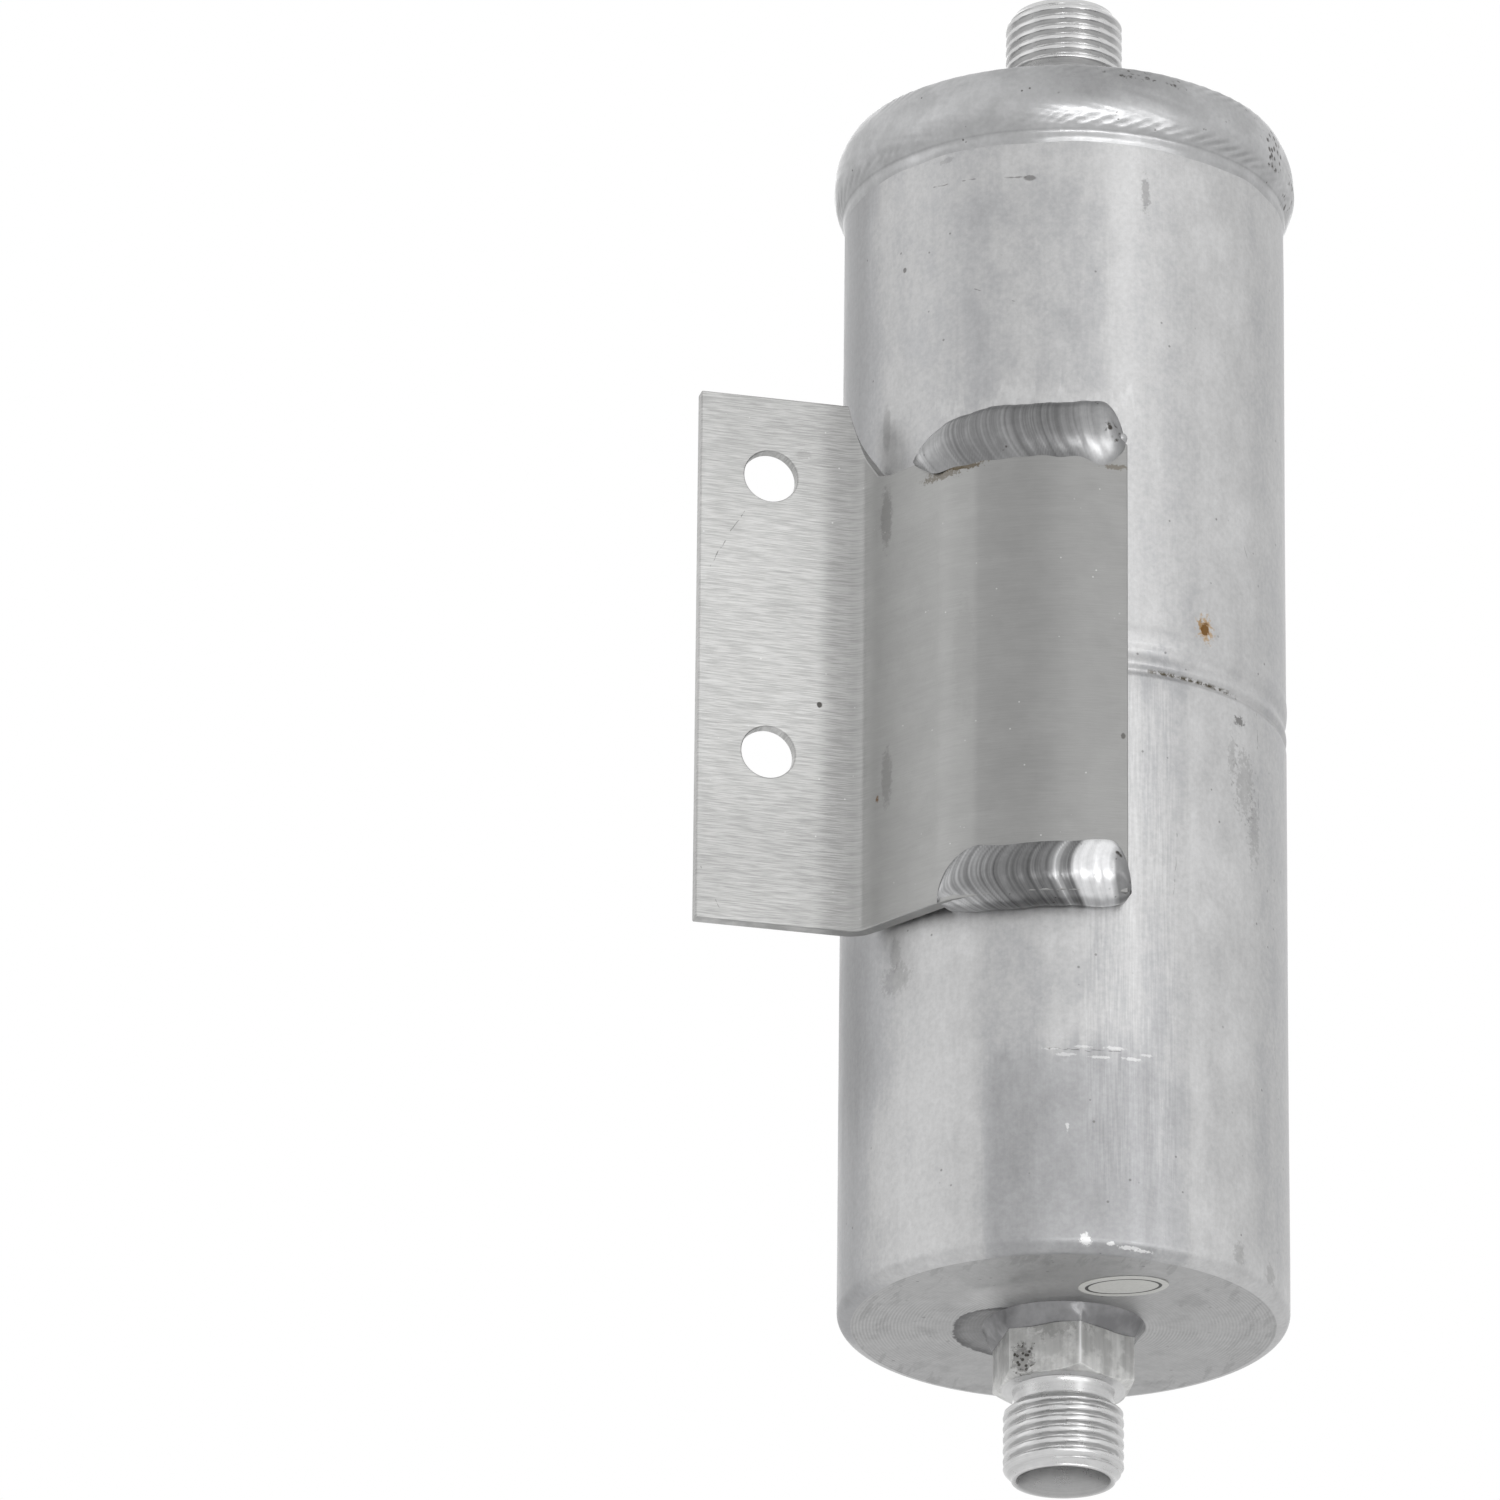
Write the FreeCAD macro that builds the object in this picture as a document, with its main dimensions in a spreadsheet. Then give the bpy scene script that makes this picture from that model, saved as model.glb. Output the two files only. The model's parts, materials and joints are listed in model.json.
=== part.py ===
import FreeCAD, Part
import math
import os
import Sketcher

# Receiver drier: a sealed aluminium canister with a threaded union at each end and a
# bent sheet bracket welded to its side. Millimetres, +Z along the canister from the
# outlet union to the inlet union. The origin lies on the canister's axis, at the middle
# of the outlet union's thread. Angles round the canister are measured from -Y towards +X.

# Driving dimensions, as cells of a sheet: alias, value, meaning
DIMENSIONS = [
    ("can_radius", 30.0, "outside radius of the canister"),
    ("can_wall", 2.0, "side wall of the canister"),
    ("can_floor", 5.0, "thickness of the canister's bottom"),
    ("can_corner", 1.8, "rounding between bottom and side wall"),
    ("can_length", 161.0, "bottom face to the open rim"),
    ("groove_level", 84.0, "middle of the rolled groove above the bottom face"),
    ("groove_width", 5.0, "height of the rolled groove"),
    ("groove_depth", 0.4, "depth of the rolled groove outside"),
    ("ledge_reach", 0.8, "how far the groove stands inside as a ledge"),
    ("ledge_thickness", 1.0, "straight edge of the inner ledge"),
    ("cap_radius", 29.0, "radius of the cap's head on the rim"),
    ("cap_head", 9.0, "thickness of the cap's head above the rim"),
    ("cap_register", 3.0, "depth of the cap's register inside the canister"),
    ("cap_recess_radius", 22.0, "recess under the cap, seat of the spring"),
    ("cap_recess_depth", 5.0, "depth of the recess under the cap"),
    ("fit_clearance", 0.1, "radial clearance of turned fits"),
    ("rim_bead_stand", 1.5, "rim weld's widest point outside canister and cap"),
    ("rim_bead_level", 4.4, "widest point of the rim weld above the rim"),
    ("rim_bead_lap_side", 1.25, "how far the rim weld runs down the canister"),
    ("rim_bead_lap_top", 0.7, "how far the rim weld runs over the cap"),
    ("rim_bead_crown", 0.5, "height of the rim weld above the cap"),
    ("union_flats", 17.0, "width across flats of the union's hexagon"),
    ("union_hex_height", 9.0, "height of the hexagon"),
    ("union_hex_chamfer", 0.7, "height of the chamfer on the hexagon"),
    ("union_neck_radius", 6.7, "relief neck between hexagon and thread"),
    ("union_neck_height", 2.6, "height of the relief neck"),
    ("union_thread_radius", 8.0, "outside radius of the thread"),
    ("union_thread_height", 9.9, "height of the threaded end"),
    ("union_nose_chamfer", 1.15, "chamfer at the end of the thread"),
    ("union_bore_radius", 4.0, "flow bore through the union"),
    ("union_socket_radius", 5.0, "socket for the tube"),
    ("union_socket_depth", 7.0, "depth of the tube socket from the end face"),
    ("union_mouth_radius", 6.15, "mouth of the sealing cone"),
    ("union_mouth_depth", 5.4, "depth of the sealing cone"),
    ("union_spigot_radius", 7.0, "spigot that passes through the wall"),
    ("union_spigot_length", 8.0, "length of the spigot"),
    ("outlet_turn", -1.8, "angle of a corner of the outlet hexagon"),
    ("inlet_turn", 2.5, "angle of a corner of the inlet hexagon"),
    ("braze_radius", 10.9, "outside radius of the brazed fillet"),
    ("braze_height", 1.7, "height of the brazed fillet on the hexagon"),
    ("braze_shoulder", 0.25, "fillet's width at the hexagon's corners"),
    ("sheet_thickness", 2.0, "sheet of the bracket"),
    ("flange_offset", 10.8, "flange's front face from the canister's axis"),
    ("flange_reach", 53.2, "flange's free edge from the canister's axis"),
    ("flange_low", 48.8, "lower edge of the bracket above the bottom face"),
    ("flange_high", 124.9, "upper edge of the flange above the bottom face"),
    ("flange_corner", 1.0, "rounding of the flange's corners"),
    ("hole_radius", 3.65, "radius of the bracket's holes"),
    ("hole_spacing", 40.0, "distance between the bracket's holes"),
    ("hole_edge", 9.7, "holes from the flange's free edge"),
    ("hole_drop", 11.5, "upper hole below the flange's upper edge"),
    ("bend_radius", 2.5, "inside radius of the flange's bend"),
    ("web_turn", 59.0, "turn of the web from the flange"),
    ("web_gap", 0.5, "web's inner face from the canister"),
    ("soft_bend_radius", 8.0, "inside radius of the bend between web and saddle"),
    ("saddle_gap", 1.9, "saddle's inner face from the canister"),
    ("saddle_end", 0.4, "saddle's end short of the canister's front, degrees"),
    ("saddle_high", 113.2, "upper edge of the saddle above the bottom face"),
    ("saddle_cut_start", 33.0, "where the diagonal cut leaves the flange's upper edge"),
    ("saddle_cut_end", 28.5, "where the diagonal cut meets the saddle's upper edge"),
    ("weld_span", 41.0, "angle covered by each bracket weld"),
    ("weld_lap_low", 7.3, "lower weld's lap on the saddle's face"),
    ("weld_foot_low", 1.6, "lower weld's foot on the canister"),
    ("weld_lap_high", 1.8, "upper weld's lap on the saddle's face"),
    ("weld_foot_high", 6.0, "upper weld's foot on the canister"),
    ("weld_crown", 0.9, "welds' crown above the saddle's face"),
    ("label_length", 12.0, "length of the oval sticker"),
    ("label_width", 7.5, "width of the oval sticker"),
    ("label_thickness", 0.12, "thickness of the sticker"),
    ("label_x", 3.4, "sticker's centre, across"),
    ("label_y", -17.7, "sticker's centre, forward"),
    ("label_turn", -25.0, "turn of the sticker's long side"),
    ("plate_thickness", 1.5, "perforated plates"),
    ("plate_clearance", 0.2, "plates and pads from the canister's wall"),
    ("plate_hole_radius", 2.2, "holes of the perforated plates"),
    ("inner_ring_radius", 9.5, "inner ring of plate holes"),
    ("inner_ring_count", 5, "holes in the inner ring"),
    ("outer_ring_radius", 19.0, "outer ring of plate holes"),
    ("outer_ring_count", 9, "holes in the outer ring"),
    ("gauze_thickness", 0.5, "wire gauze discs"),
    ("pad_thickness", 5.0, "felt pads"),
    ("charge_height", 46.0, "height of the desiccant charge"),
    ("spring_radius", 17.0, "mean radius of the spring"),
    ("spring_wire", 2.2, "wire diameter of the spring"),
    ("spring_turns", 2.6, "turns of the spring"),
    ("spring_ground", 0.5, "depth ground off each end of the spring"),
    ("strainer_wall", 0.8, "gauze thimble over the outlet"),
    ("strainer_height", 20.0, "height of the thimble above the canister's floor"),
    ("strainer_corner", 3.0, "bevel of the thimble's top"),
    ("strainer_clearance", 0.05, "thimble on the union's spigot"),
]

HEX_SIDES = 6
HEX_STEP = 360 / HEX_SIDES
WIRE_SIDES = 8

doc = FreeCAD.newDocument("ReceiverDrier")
sheet = doc.addObject("Spreadsheet::Sheet", "Sizes")


class Size:
    """A length or angle as a number together with its expression in the sheet."""

    def __init__(self, number, text):
        self.number = float(number)
        self.text = text

    def __add__(self, other):
        other = as_size(other)
        return Size(self.number + other.number, "(" + self.text + " + " + other.text + ")")

    def __sub__(self, other):
        other = as_size(other)
        return Size(self.number - other.number, "(" + self.text + " - " + other.text + ")")

    def __mul__(self, other):
        other = as_size(other)
        return Size(self.number * other.number, "(" + self.text + " * " + other.text + ")")

    def __truediv__(self, other):
        other = as_size(other)
        return Size(self.number / other.number, "(" + self.text + " / " + other.text + ")")

    def __neg__(self):
        return Size(-self.number, "(0 - " + self.text + ")")


def as_size(value):
    if isinstance(value, Size):
        return value
    return Size(value, repr(float(value)))


def size_sin(angle):
    angle = as_size(angle)
    return Size(math.sin(math.radians(angle.number)), "sin(" + angle.text + ")")


def size_cos(angle):
    angle = as_size(angle)
    return Size(math.cos(math.radians(angle.number)), "cos(" + angle.text + ")")


def size_sqrt(value):
    return Size(math.sqrt(value.number), "sqrt(" + value.text + ")")


def size_max(first, second):
    return Size(max(first.number, second.number), "max(" + first.text + "; " + second.text + ")")


def fill_sheet():
    """Write every driving dimension to the sheet and return them by name."""
    sizes = {}
    for row, (alias, number, meaning) in enumerate(DIMENSIONS, start=1):
        sheet.set("A" + str(row), meaning)
        sheet.set("B" + str(row), str(number))
        sheet.setAlias("B" + str(row), alias)
        sizes[alias] = Size(number, "Sizes." + alias)
    doc.recompute()
    return sizes


S = fill_sheet()
ZERO = as_size(0)

# Levels above the canister's bottom face, and radii that several pieces share
can_bore = S["can_radius"] - S["can_wall"]
rim_level = S["can_length"]
cap_top = rim_level + S["cap_head"]
cap_low = rim_level - S["cap_register"]
cap_roof = cap_low + S["cap_recess_depth"]
union_face = S["union_hex_height"] + S["union_neck_height"] + S["union_thread_height"]
thread_wall = S["union_thread_height"] - S["union_nose_chamfer"]
thread_middle = union_face - S["union_nose_chamfer"] - thread_wall / 2
ledge_level = S["groove_level"] + S["groove_width"] / 2
plate_radius = can_bore - S["plate_clearance"]
wall_hole = S["union_spigot_radius"] + S["fit_clearance"]
web_inner = S["can_radius"] + S["web_gap"]
web_outer = web_inner + S["sheet_thickness"]
saddle_inner = S["can_radius"] + S["saddle_gap"]
saddle_outer = saddle_inner + S["sheet_thickness"]


def bind(feature, prop, size):
    """Set a feature's property to a size and tie it to the sheet."""
    size = as_size(size)
    feature.setExpression(prop, size.text)


def new_body(label, level=ZERO, flipped=False):
    """A body whose own zero level lies at a level above the canister's bottom face."""
    body = doc.addObject("PartDesign::Body", label)
    body.Label = label
    turn = FreeCAD.Rotation(FreeCAD.Vector(1, 0, 0), 180 if flipped else 0)
    body.Placement = FreeCAD.Placement(FreeCAD.Vector(0, 0, (level + thread_middle).number), turn)
    bind(body, "Placement.Base.z", level + thread_middle)
    return body


def new_sketch(body, name, role):
    """A sketch on one of the body's own origin planes."""
    sketch = body.newObject("Sketcher::SketchObject", name)
    plane = [item for item in body.Origin.OriginFeatures if item.Role == role][0]
    sketch.AttachmentSupport = [(plane, "")]
    sketch.MapMode = "FlatFace"
    return sketch


def hold_point(sketch, edge, end, x, y):
    """Fix one end of an edge by two named distances from the sketch's origin."""
    for kind, value in (("DistanceX", x), ("DistanceY", y)):
        number = sketch.addConstraint(Sketcher.Constraint(kind, -1, 1, edge, end, value.number))
        name = kind[-1].lower() + "_" + str(edge) + "_" + str(end)
        sketch.renameConstraint(number, name)
        sketch.setExpression("Constraints." + name, value.text)


def arc_between(start, end, radius, side):
    """Arc from start to end; side +1 puts its centre left of the way, -1 right of it."""
    chord = end - start
    half = chord.Length / 2
    rise = math.sqrt(max(radius ** 2 - half ** 2, 0.0))
    left = FreeCAD.Vector(-chord.y, chord.x, 0).normalize()
    centre = (start + end) * 0.5 + left * (rise * side)
    first = math.atan2(start.y - centre.y, start.x - centre.x)
    last = math.atan2(end.y - centre.y, end.x - centre.x)
    circle = Part.Circle(centre, FreeCAD.Vector(0, 0, 1), radius)
    if side > 0:
        return Part.ArcOfCircle(circle, first, last), 1, 2
    return Part.ArcOfCircle(circle, last, first), 2, 1


def draw_outline(sketch, corners, arcs=None):
    """Closed outline through corners, with arcs as {edge: (radius, side)}."""
    arcs = arcs or {}
    points = [FreeCAD.Vector(x.number, y.number, 0) for x, y in corners]
    ends = []
    for index, start in enumerate(points):
        end = points[(index + 1) % len(points)]
        if index in arcs:
            radius, side = arcs[index]
            arc, first, last = arc_between(start, end, radius.number, side)
            edge = sketch.addGeometry(arc, False)
        else:
            edge = sketch.addGeometry(Part.LineSegment(start, end), False)
            first, last = 1, 2
        ends.append((edge, first, last))
    for index, (edge, first, last) in enumerate(ends):
        following = ends[(index + 1) % len(ends)]
        joint = Sketcher.Constraint("Coincident", edge, last, following[0], following[1])
        sketch.addConstraint(joint)
    for (x, y), (edge, first, last) in zip(corners, ends):
        hold_point(sketch, edge, first, x, y)
    for index, (radius, side) in arcs.items():
        number = sketch.addConstraint(Sketcher.Constraint("Radius", ends[index][0], radius.number))
        sketch.renameConstraint(number, "radius_" + str(index))
        sketch.setExpression("Constraints.radius_" + str(index), radius.text)
    doc.recompute()


def draw_circle(sketch, x, y, radius):
    """Circle with its centre and radius tied to the sheet."""
    centre = FreeCAD.Vector(x.number, y.number, 0)
    edge = sketch.addGeometry(Part.Circle(centre, FreeCAD.Vector(0, 0, 1), radius.number), False)
    hold_point(sketch, edge, 3, x, y)
    number = sketch.addConstraint(Sketcher.Constraint("Radius", edge, radius.number))
    sketch.renameConstraint(number, "radius_" + str(edge))
    sketch.setExpression("Constraints.radius_" + str(edge), radius.text)
    doc.recompute()


def turn_profile(body, name, corners, arcs=None, cut=False):
    """Revolve an outline of radius and height round the canister's axis."""
    sketch = new_sketch(body, name + "_profile", "XZ_Plane")
    draw_outline(sketch, corners, arcs)
    kind = "PartDesign::Groove" if cut else "PartDesign::Revolution"
    feature = body.newObject(kind, name)
    feature.Profile = sketch
    feature.ReferenceAxis = (sketch, ["V_Axis"])
    feature.Angle = 360
    doc.recompute()
    return feature


def pad_profile(body, name, sketch, length, backwards=False):
    pad = body.newObject("PartDesign::Pad", name)
    pad.Profile = sketch
    bind(pad, "Length", length)
    pad.Reversed = backwards
    doc.recompute()
    return pad


def pocket_through(body, name, sketch):
    """Cut a sketch's outline right through the body, both ways."""
    before = body.Shape.Volume
    pocket = body.newObject("PartDesign::Pocket", name)
    pocket.Profile = sketch
    pocket.Type = "ThroughAll"
    pocket.Midplane = True
    doc.recompute()
    if not body.Shape.Volume < before:
        raise RuntimeError(name + " cuts nothing")
    return pocket


def hex_corners(flats, turn):
    """Corners of a hexagon across flats, one of them at an angle from -Y towards +X."""
    reach = flats / math.sqrt(3)
    corners = []
    for number in range(HEX_SIDES):
        angle = turn + number * HEX_STEP
        corners.append((reach * size_sin(angle), -(reach * size_cos(angle))))
    return corners


def make_canister_shell():
    """Deep drawn canister: floor with the outlet hole, side wall, rolled groove and ledge."""
    body = new_body("canister_shell")
    radius = S["can_radius"]
    low = S["groove_level"] - S["groove_width"] / 2
    high = S["groove_level"] + S["groove_width"] / 2
    slope = S["groove_width"] * 0.25
    bottom = radius - S["groove_depth"]
    ledge = can_bore - S["ledge_reach"]
    ledge_low = ledge_level - S["ledge_thickness"]
    corners = [
        (wall_hole, ZERO),
        (radius - S["can_corner"], ZERO),
        (radius, S["can_corner"]),
        (radius, low),
        (bottom, low + slope),
        (bottom, high - slope),
        (radius, high),
        (radius, rim_level),
        (can_bore, rim_level),
        (can_bore, ledge_level),
        (ledge, ledge_level),
        (ledge, ledge_low),
        (can_bore, ledge_low - S["ledge_reach"] * 2),
        (can_bore, S["can_floor"] + S["can_corner"]),
        (can_bore - S["can_corner"], S["can_floor"]),
        (wall_hole, S["can_floor"]),
    ]
    turn_profile(body, "drawn_wall", corners, {1: (S["can_corner"], 1)})
    return body


def make_end_cap():
    """Turned cap: head on the rim, register inside the wall, recess for the spring."""
    body = new_body("end_cap")
    register = can_bore - S["fit_clearance"]
    corners = [
        (wall_hole, cap_roof),
        (S["cap_recess_radius"], cap_roof),
        (S["cap_recess_radius"], cap_low),
        (register, cap_low),
        (register, rim_level),
        (S["cap_radius"], rim_level),
        (S["cap_radius"], cap_top),
        (wall_hole, cap_top),
    ]
    turn_profile(body, "turned_cap", corners)
    return body


def make_rim_weld():
    """Weld ring that fills the corner between rim and cap and laps over both."""
    body = new_body("rim_weld")
    wider = size_max(S["can_radius"], S["cap_radius"])
    widest = rim_level + S["rim_bead_level"]
    lap_top = S["cap_radius"] - S["rim_bead_lap_top"]
    crown = cap_top + S["rim_bead_crown"]
    corners = [
        (S["cap_radius"], rim_level),
        (S["can_radius"], rim_level),
        (S["can_radius"], rim_level - S["rim_bead_lap_side"]),
        (wider + S["rim_bead_stand"] / 2, rim_level),
        (wider + S["rim_bead_stand"], widest),
        (S["cap_radius"] + S["rim_bead_crown"], crown),
        (lap_top, cap_top),
        (S["cap_radius"], cap_top),
    ]
    drop = S["rim_bead_level"] + S["rim_bead_lap_side"]
    arcs = {3: (drop * 1.3, 1), 4: (drop, 1)}
    turn_profile(body, "weld_ring", corners, arcs)
    return body


def make_union(label, level, flipped, turn):
    """Union: hexagon, relief neck, threaded nose with sealing cone, and spigot."""
    body = new_body(label, level, flipped)
    hex_sketch = new_sketch(body, "hexagon", "XY_Plane")
    draw_outline(hex_sketch, hex_corners(S["union_flats"], turn))
    pad_profile(body, "hexagon_block", hex_sketch, S["union_hex_height"], backwards=True)
    hex_low = -S["union_hex_height"]
    corner = S["union_flats"] / math.sqrt(3) + S["fit_clearance"]
    flat = S["union_flats"] / 2
    chamfer = [
        (flat, hex_low),
        (corner, hex_low + S["union_hex_chamfer"]),
        (corner, hex_low),
    ]
    turn_profile(body, "hexagon_chamfer", chamfer, cut=True)
    neck_low = hex_low - S["union_neck_height"]
    neck_slope = S["union_thread_radius"] - S["union_neck_radius"]
    nose = -union_face
    thread = S["union_thread_radius"]
    turned = [
        (ZERO, nose),
        (thread - S["union_nose_chamfer"], nose),
        (thread, nose + S["union_nose_chamfer"]),
        (thread, neck_low),
        (S["union_neck_radius"], neck_low + neck_slope / 2),
        (S["union_neck_radius"], hex_low),
        (S["union_neck_radius"], hex_low / 2),
        (ZERO, hex_low / 2),
    ]
    turn_profile(body, "threaded_nose", turned)
    spigot = [
        (ZERO, hex_low / 2),
        (S["union_spigot_radius"], hex_low / 2),
        (S["union_spigot_radius"], S["union_spigot_length"]),
        (ZERO, S["union_spigot_length"]),
    ]
    turn_profile(body, "spigot", spigot)
    socket = [
        (ZERO, nose),
        (S["union_mouth_radius"], nose),
        (S["union_socket_radius"], nose + S["union_mouth_depth"]),
        (S["union_socket_radius"], nose + S["union_socket_depth"]),
        (S["union_bore_radius"], nose + S["union_socket_depth"]),
        (S["union_bore_radius"], S["union_spigot_length"]),
        (ZERO, S["union_spigot_length"]),
    ]
    turn_profile(body, "flow_bore", socket, cut=True)
    return body


def make_braze(label, level, flipped, turn):
    """Brazed fillet round the foot of a union's hexagon."""
    body = new_body(label, level, flipped)
    corner = S["union_flats"] / math.sqrt(3)
    top = corner + S["braze_shoulder"]
    core = S["union_flats"] / 2 - S["braze_height"]
    corners = [
        (core, ZERO),
        (core, -S["braze_height"]),
        (top, -S["braze_height"]),
        (S["braze_radius"], ZERO),
    ]
    arcs = {2: (S["braze_height"] * 2, -1)}
    turn_profile(body, "fillet_ring", corners, arcs)
    hex_sketch = new_sketch(body, "hexagon_seat", "XY_Plane")
    draw_outline(hex_sketch, hex_corners(S["union_flats"], turn))
    pocket_through(body, "hexagon_opening", hex_sketch)
    return body


def upright_edge(shape, x, y):
    """Name of the upright edge of a shape that stands nearest to a point."""
    best = None
    for number, edge in enumerate(shape.Edges, start=1):
        first = edge.Vertexes[0].Point
        last = edge.Vertexes[-1].Point
        upright = abs(first.x - last.x) + abs(first.y - last.y) < abs(first.z - last.z) * 0.01
        distance = math.hypot(first.x - x.number, first.y - y.number)
        if upright and (best is None or distance < best[0]):
            best = (distance, "Edge" + str(number))
    return best[1]


def round_edge(body, name, feature, x, y, radius):
    """Round the upright edge nearest to a point."""
    fillet = body.newObject("PartDesign::Fillet", name)
    fillet.Base = (feature, [upright_edge(feature.Shape, x, y)])
    bind(fillet, "Radius", radius)
    doc.recompute()
    return fillet


def web_point(distance, along):
    """Point of the plane of the web at a distance from the axis, along the sheet."""
    sine = size_sin(S["web_turn"])
    cosine = size_cos(S["web_turn"])
    return (along * cosine - distance * sine, -(distance * cosine) - along * sine)


def flange_corner(distance, offset):
    """Where a face of the web meets a face of the flange."""
    reach = (distance - offset * size_cos(S["web_turn"])) / size_sin(S["web_turn"])
    return (-reach, -offset)


def make_bracket():
    """Bracket of bent sheet: flange with two holes, web and saddle round the canister."""
    body = new_body("mounting_bracket", S["flange_low"])
    back = S["flange_offset"] - S["sheet_thickness"]
    along_outer = size_sqrt(saddle_outer * saddle_outer - web_outer * web_outer)
    along_inner = size_sqrt(saddle_inner * saddle_inner - web_inner * web_inner)
    bend_front = flange_corner(web_outer, S["flange_offset"])
    bend_back = flange_corner(web_inner, back)
    soft_outer = web_point(web_outer, along_outer)
    soft_inner = web_point(web_inner, along_inner)
    end_x = -size_sin(S["saddle_end"])
    end_y = -size_cos(S["saddle_end"])
    outline = new_sketch(body, "sheet_outline", "XY_Plane")
    corners = [
        (-S["flange_reach"], -S["flange_offset"]),
        bend_front,
        soft_outer,
        (saddle_outer * end_x, saddle_outer * end_y),
        (saddle_inner * end_x, saddle_inner * end_y),
        soft_inner,
        bend_back,
        (-S["flange_reach"], -back),
    ]
    draw_outline(outline, corners, {2: (saddle_outer, 1), 4: (saddle_inner, -1)})
    height = S["flange_high"] - S["flange_low"]
    last = pad_profile(body, "bent_sheet", outline, height)
    outer_bend = S["bend_radius"] + S["sheet_thickness"]
    outer_soft = S["soft_bend_radius"] + S["sheet_thickness"]
    last = round_edge(body, "bend_inside", last, *bend_front, S["bend_radius"])
    last = round_edge(body, "bend_outside", last, *bend_back, outer_bend)
    last = round_edge(body, "soft_bend_inside", last, *soft_inner, S["soft_bend_radius"])
    last = round_edge(body, "soft_bend_outside", last, *soft_outer, outer_soft)

    saddle_top = S["saddle_high"] - S["flange_low"]
    clear = S["can_radius"] * 2
    cut = new_sketch(body, "saddle_cut_outline", "XZ_Plane")
    above = height + S["sheet_thickness"]
    slope = (S["saddle_cut_start"] - S["saddle_cut_end"]) / (height - saddle_top)
    lead = S["saddle_cut_start"] + slope * S["sheet_thickness"]
    draw_outline(cut, [
        (-S["saddle_cut_end"], saddle_top),
        (clear, saddle_top),
        (clear, above),
        (-lead, above),
    ])
    pocket_through(body, "saddle_cut", cut)

    holes = new_sketch(body, "hole_outline", "XZ_Plane")
    hole_x = S["hole_edge"] - S["flange_reach"]
    upper = height - S["hole_drop"]
    draw_circle(holes, hole_x, upper, S["hole_radius"])
    draw_circle(holes, hole_x, upper - S["hole_spacing"], S["hole_radius"])
    pocket_through(body, "bracket_holes", holes)

    base = body.Tip
    names = []
    for number, edge in enumerate(base.Shape.Edges, start=1):
        middle = edge.CenterOfMass
        level = edge.Length < S["sheet_thickness"].number * 1.01
        free = abs(middle.x + S["flange_reach"].number) < S["fit_clearance"].number
        if level and free and edge.BoundBox.YLength > edge.Length * 0.99:
            names.append("Edge" + str(number))
    corners_cut = body.newObject("PartDesign::Fillet", "flange_corners")
    corners_cut.Base = (base, names)
    bind(corners_cut, "Radius", S["flange_corner"])
    doc.recompute()
    return body


def make_bracket_weld(label, profile, arcs):
    """Weld bead along an edge of the saddle, seated on the canister and on the sheet."""
    body = new_body(label)
    sketch = new_sketch(body, "bead_profile", "XZ_Plane")
    draw_outline(sketch, profile, arcs)
    bead = body.newObject("PartDesign::Revolution", "bead")
    bead.Profile = sketch
    bead.ReferenceAxis = (sketch, ["V_Axis"])
    bind(bead, "Angle", S["weld_span"])
    # The profile is drawn on +X: this turn brings it to the saddle's free end.
    body.Placement.Rotation = FreeCAD.Rotation(FreeCAD.Vector(0, 0, -1), 90)
    bind(body, "Placement.Rotation.Angle", S["saddle_end"] + 90)
    bead.Reversed = True
    doc.recompute()
    return body


def make_lower_weld():
    low = S["flange_low"]
    foot = low - S["weld_foot_low"]
    lap = low + S["weld_lap_low"]
    reach = saddle_outer - S["can_radius"]
    nose = saddle_outer + S["weld_crown"] * 0.6
    crown = saddle_outer + S["weld_crown"]
    profile = [
        (S["can_radius"], foot),
        (nose, low + S["weld_lap_low"] * 0.1),
        (crown, low + S["weld_lap_low"] * 0.35),
        (saddle_outer, lap),
        (saddle_outer, low),
        (S["can_radius"], low),
    ]
    arcs = {0: (reach * 0.85, 1), 1: (reach, 1), 2: (S["weld_lap_low"] * 0.8, 1)}
    return make_bracket_weld("bracket_weld_lower", profile, arcs)


def make_upper_weld():
    high = S["saddle_high"]
    foot = high + S["weld_foot_high"]
    lap = high - S["weld_lap_high"]
    crown = saddle_outer + S["weld_crown"]
    profile = [
        (S["can_radius"], high),
        (saddle_outer, high),
        (saddle_outer, lap),
        (crown, high + S["weld_foot_high"] * 0.2),
        (S["can_radius"], foot),
    ]
    arcs = {2: (S["weld_foot_high"], 1), 3: (S["weld_foot_high"] * 1.4, 1)}
    return make_bracket_weld("bracket_weld_upper", profile, arcs)


def make_label():
    """Oval sticker on the canister's bottom face."""
    oval = doc.addObject("Part::Ellipse", "label_outline")
    bind(oval, "MajorRadius", S["label_length"] / 2)
    bind(oval, "MinorRadius", S["label_width"] / 2)
    turn = FreeCAD.Rotation(FreeCAD.Vector(0, 0, 1), S["label_turn"].number)
    oval.Placement = FreeCAD.Placement(FreeCAD.Vector(0, 0, 0), turn)
    bind(oval, "Placement.Base.x", S["label_x"])
    bind(oval, "Placement.Base.y", S["label_y"])
    bind(oval, "Placement.Base.z", thread_middle)
    label = doc.addObject("Part::Extrusion", "inspection_label")
    label.Label = "inspection_label"
    label.Base = oval
    label.DirMode = "Custom"
    label.Dir = FreeCAD.Vector(0, 0, -1)
    bind(label, "LengthFwd", S["label_thickness"])
    label.Solid = True
    doc.recompute()
    return label


def make_disc(label, level, thickness):
    """Round disc that fills the canister but for the clearance at its wall."""
    body = new_body(label, level)
    sketch = new_sketch(body, "disc_outline", "XY_Plane")
    draw_circle(sketch, ZERO, ZERO, plate_radius)
    pad_profile(body, "disc", sketch, thickness)
    return body


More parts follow.
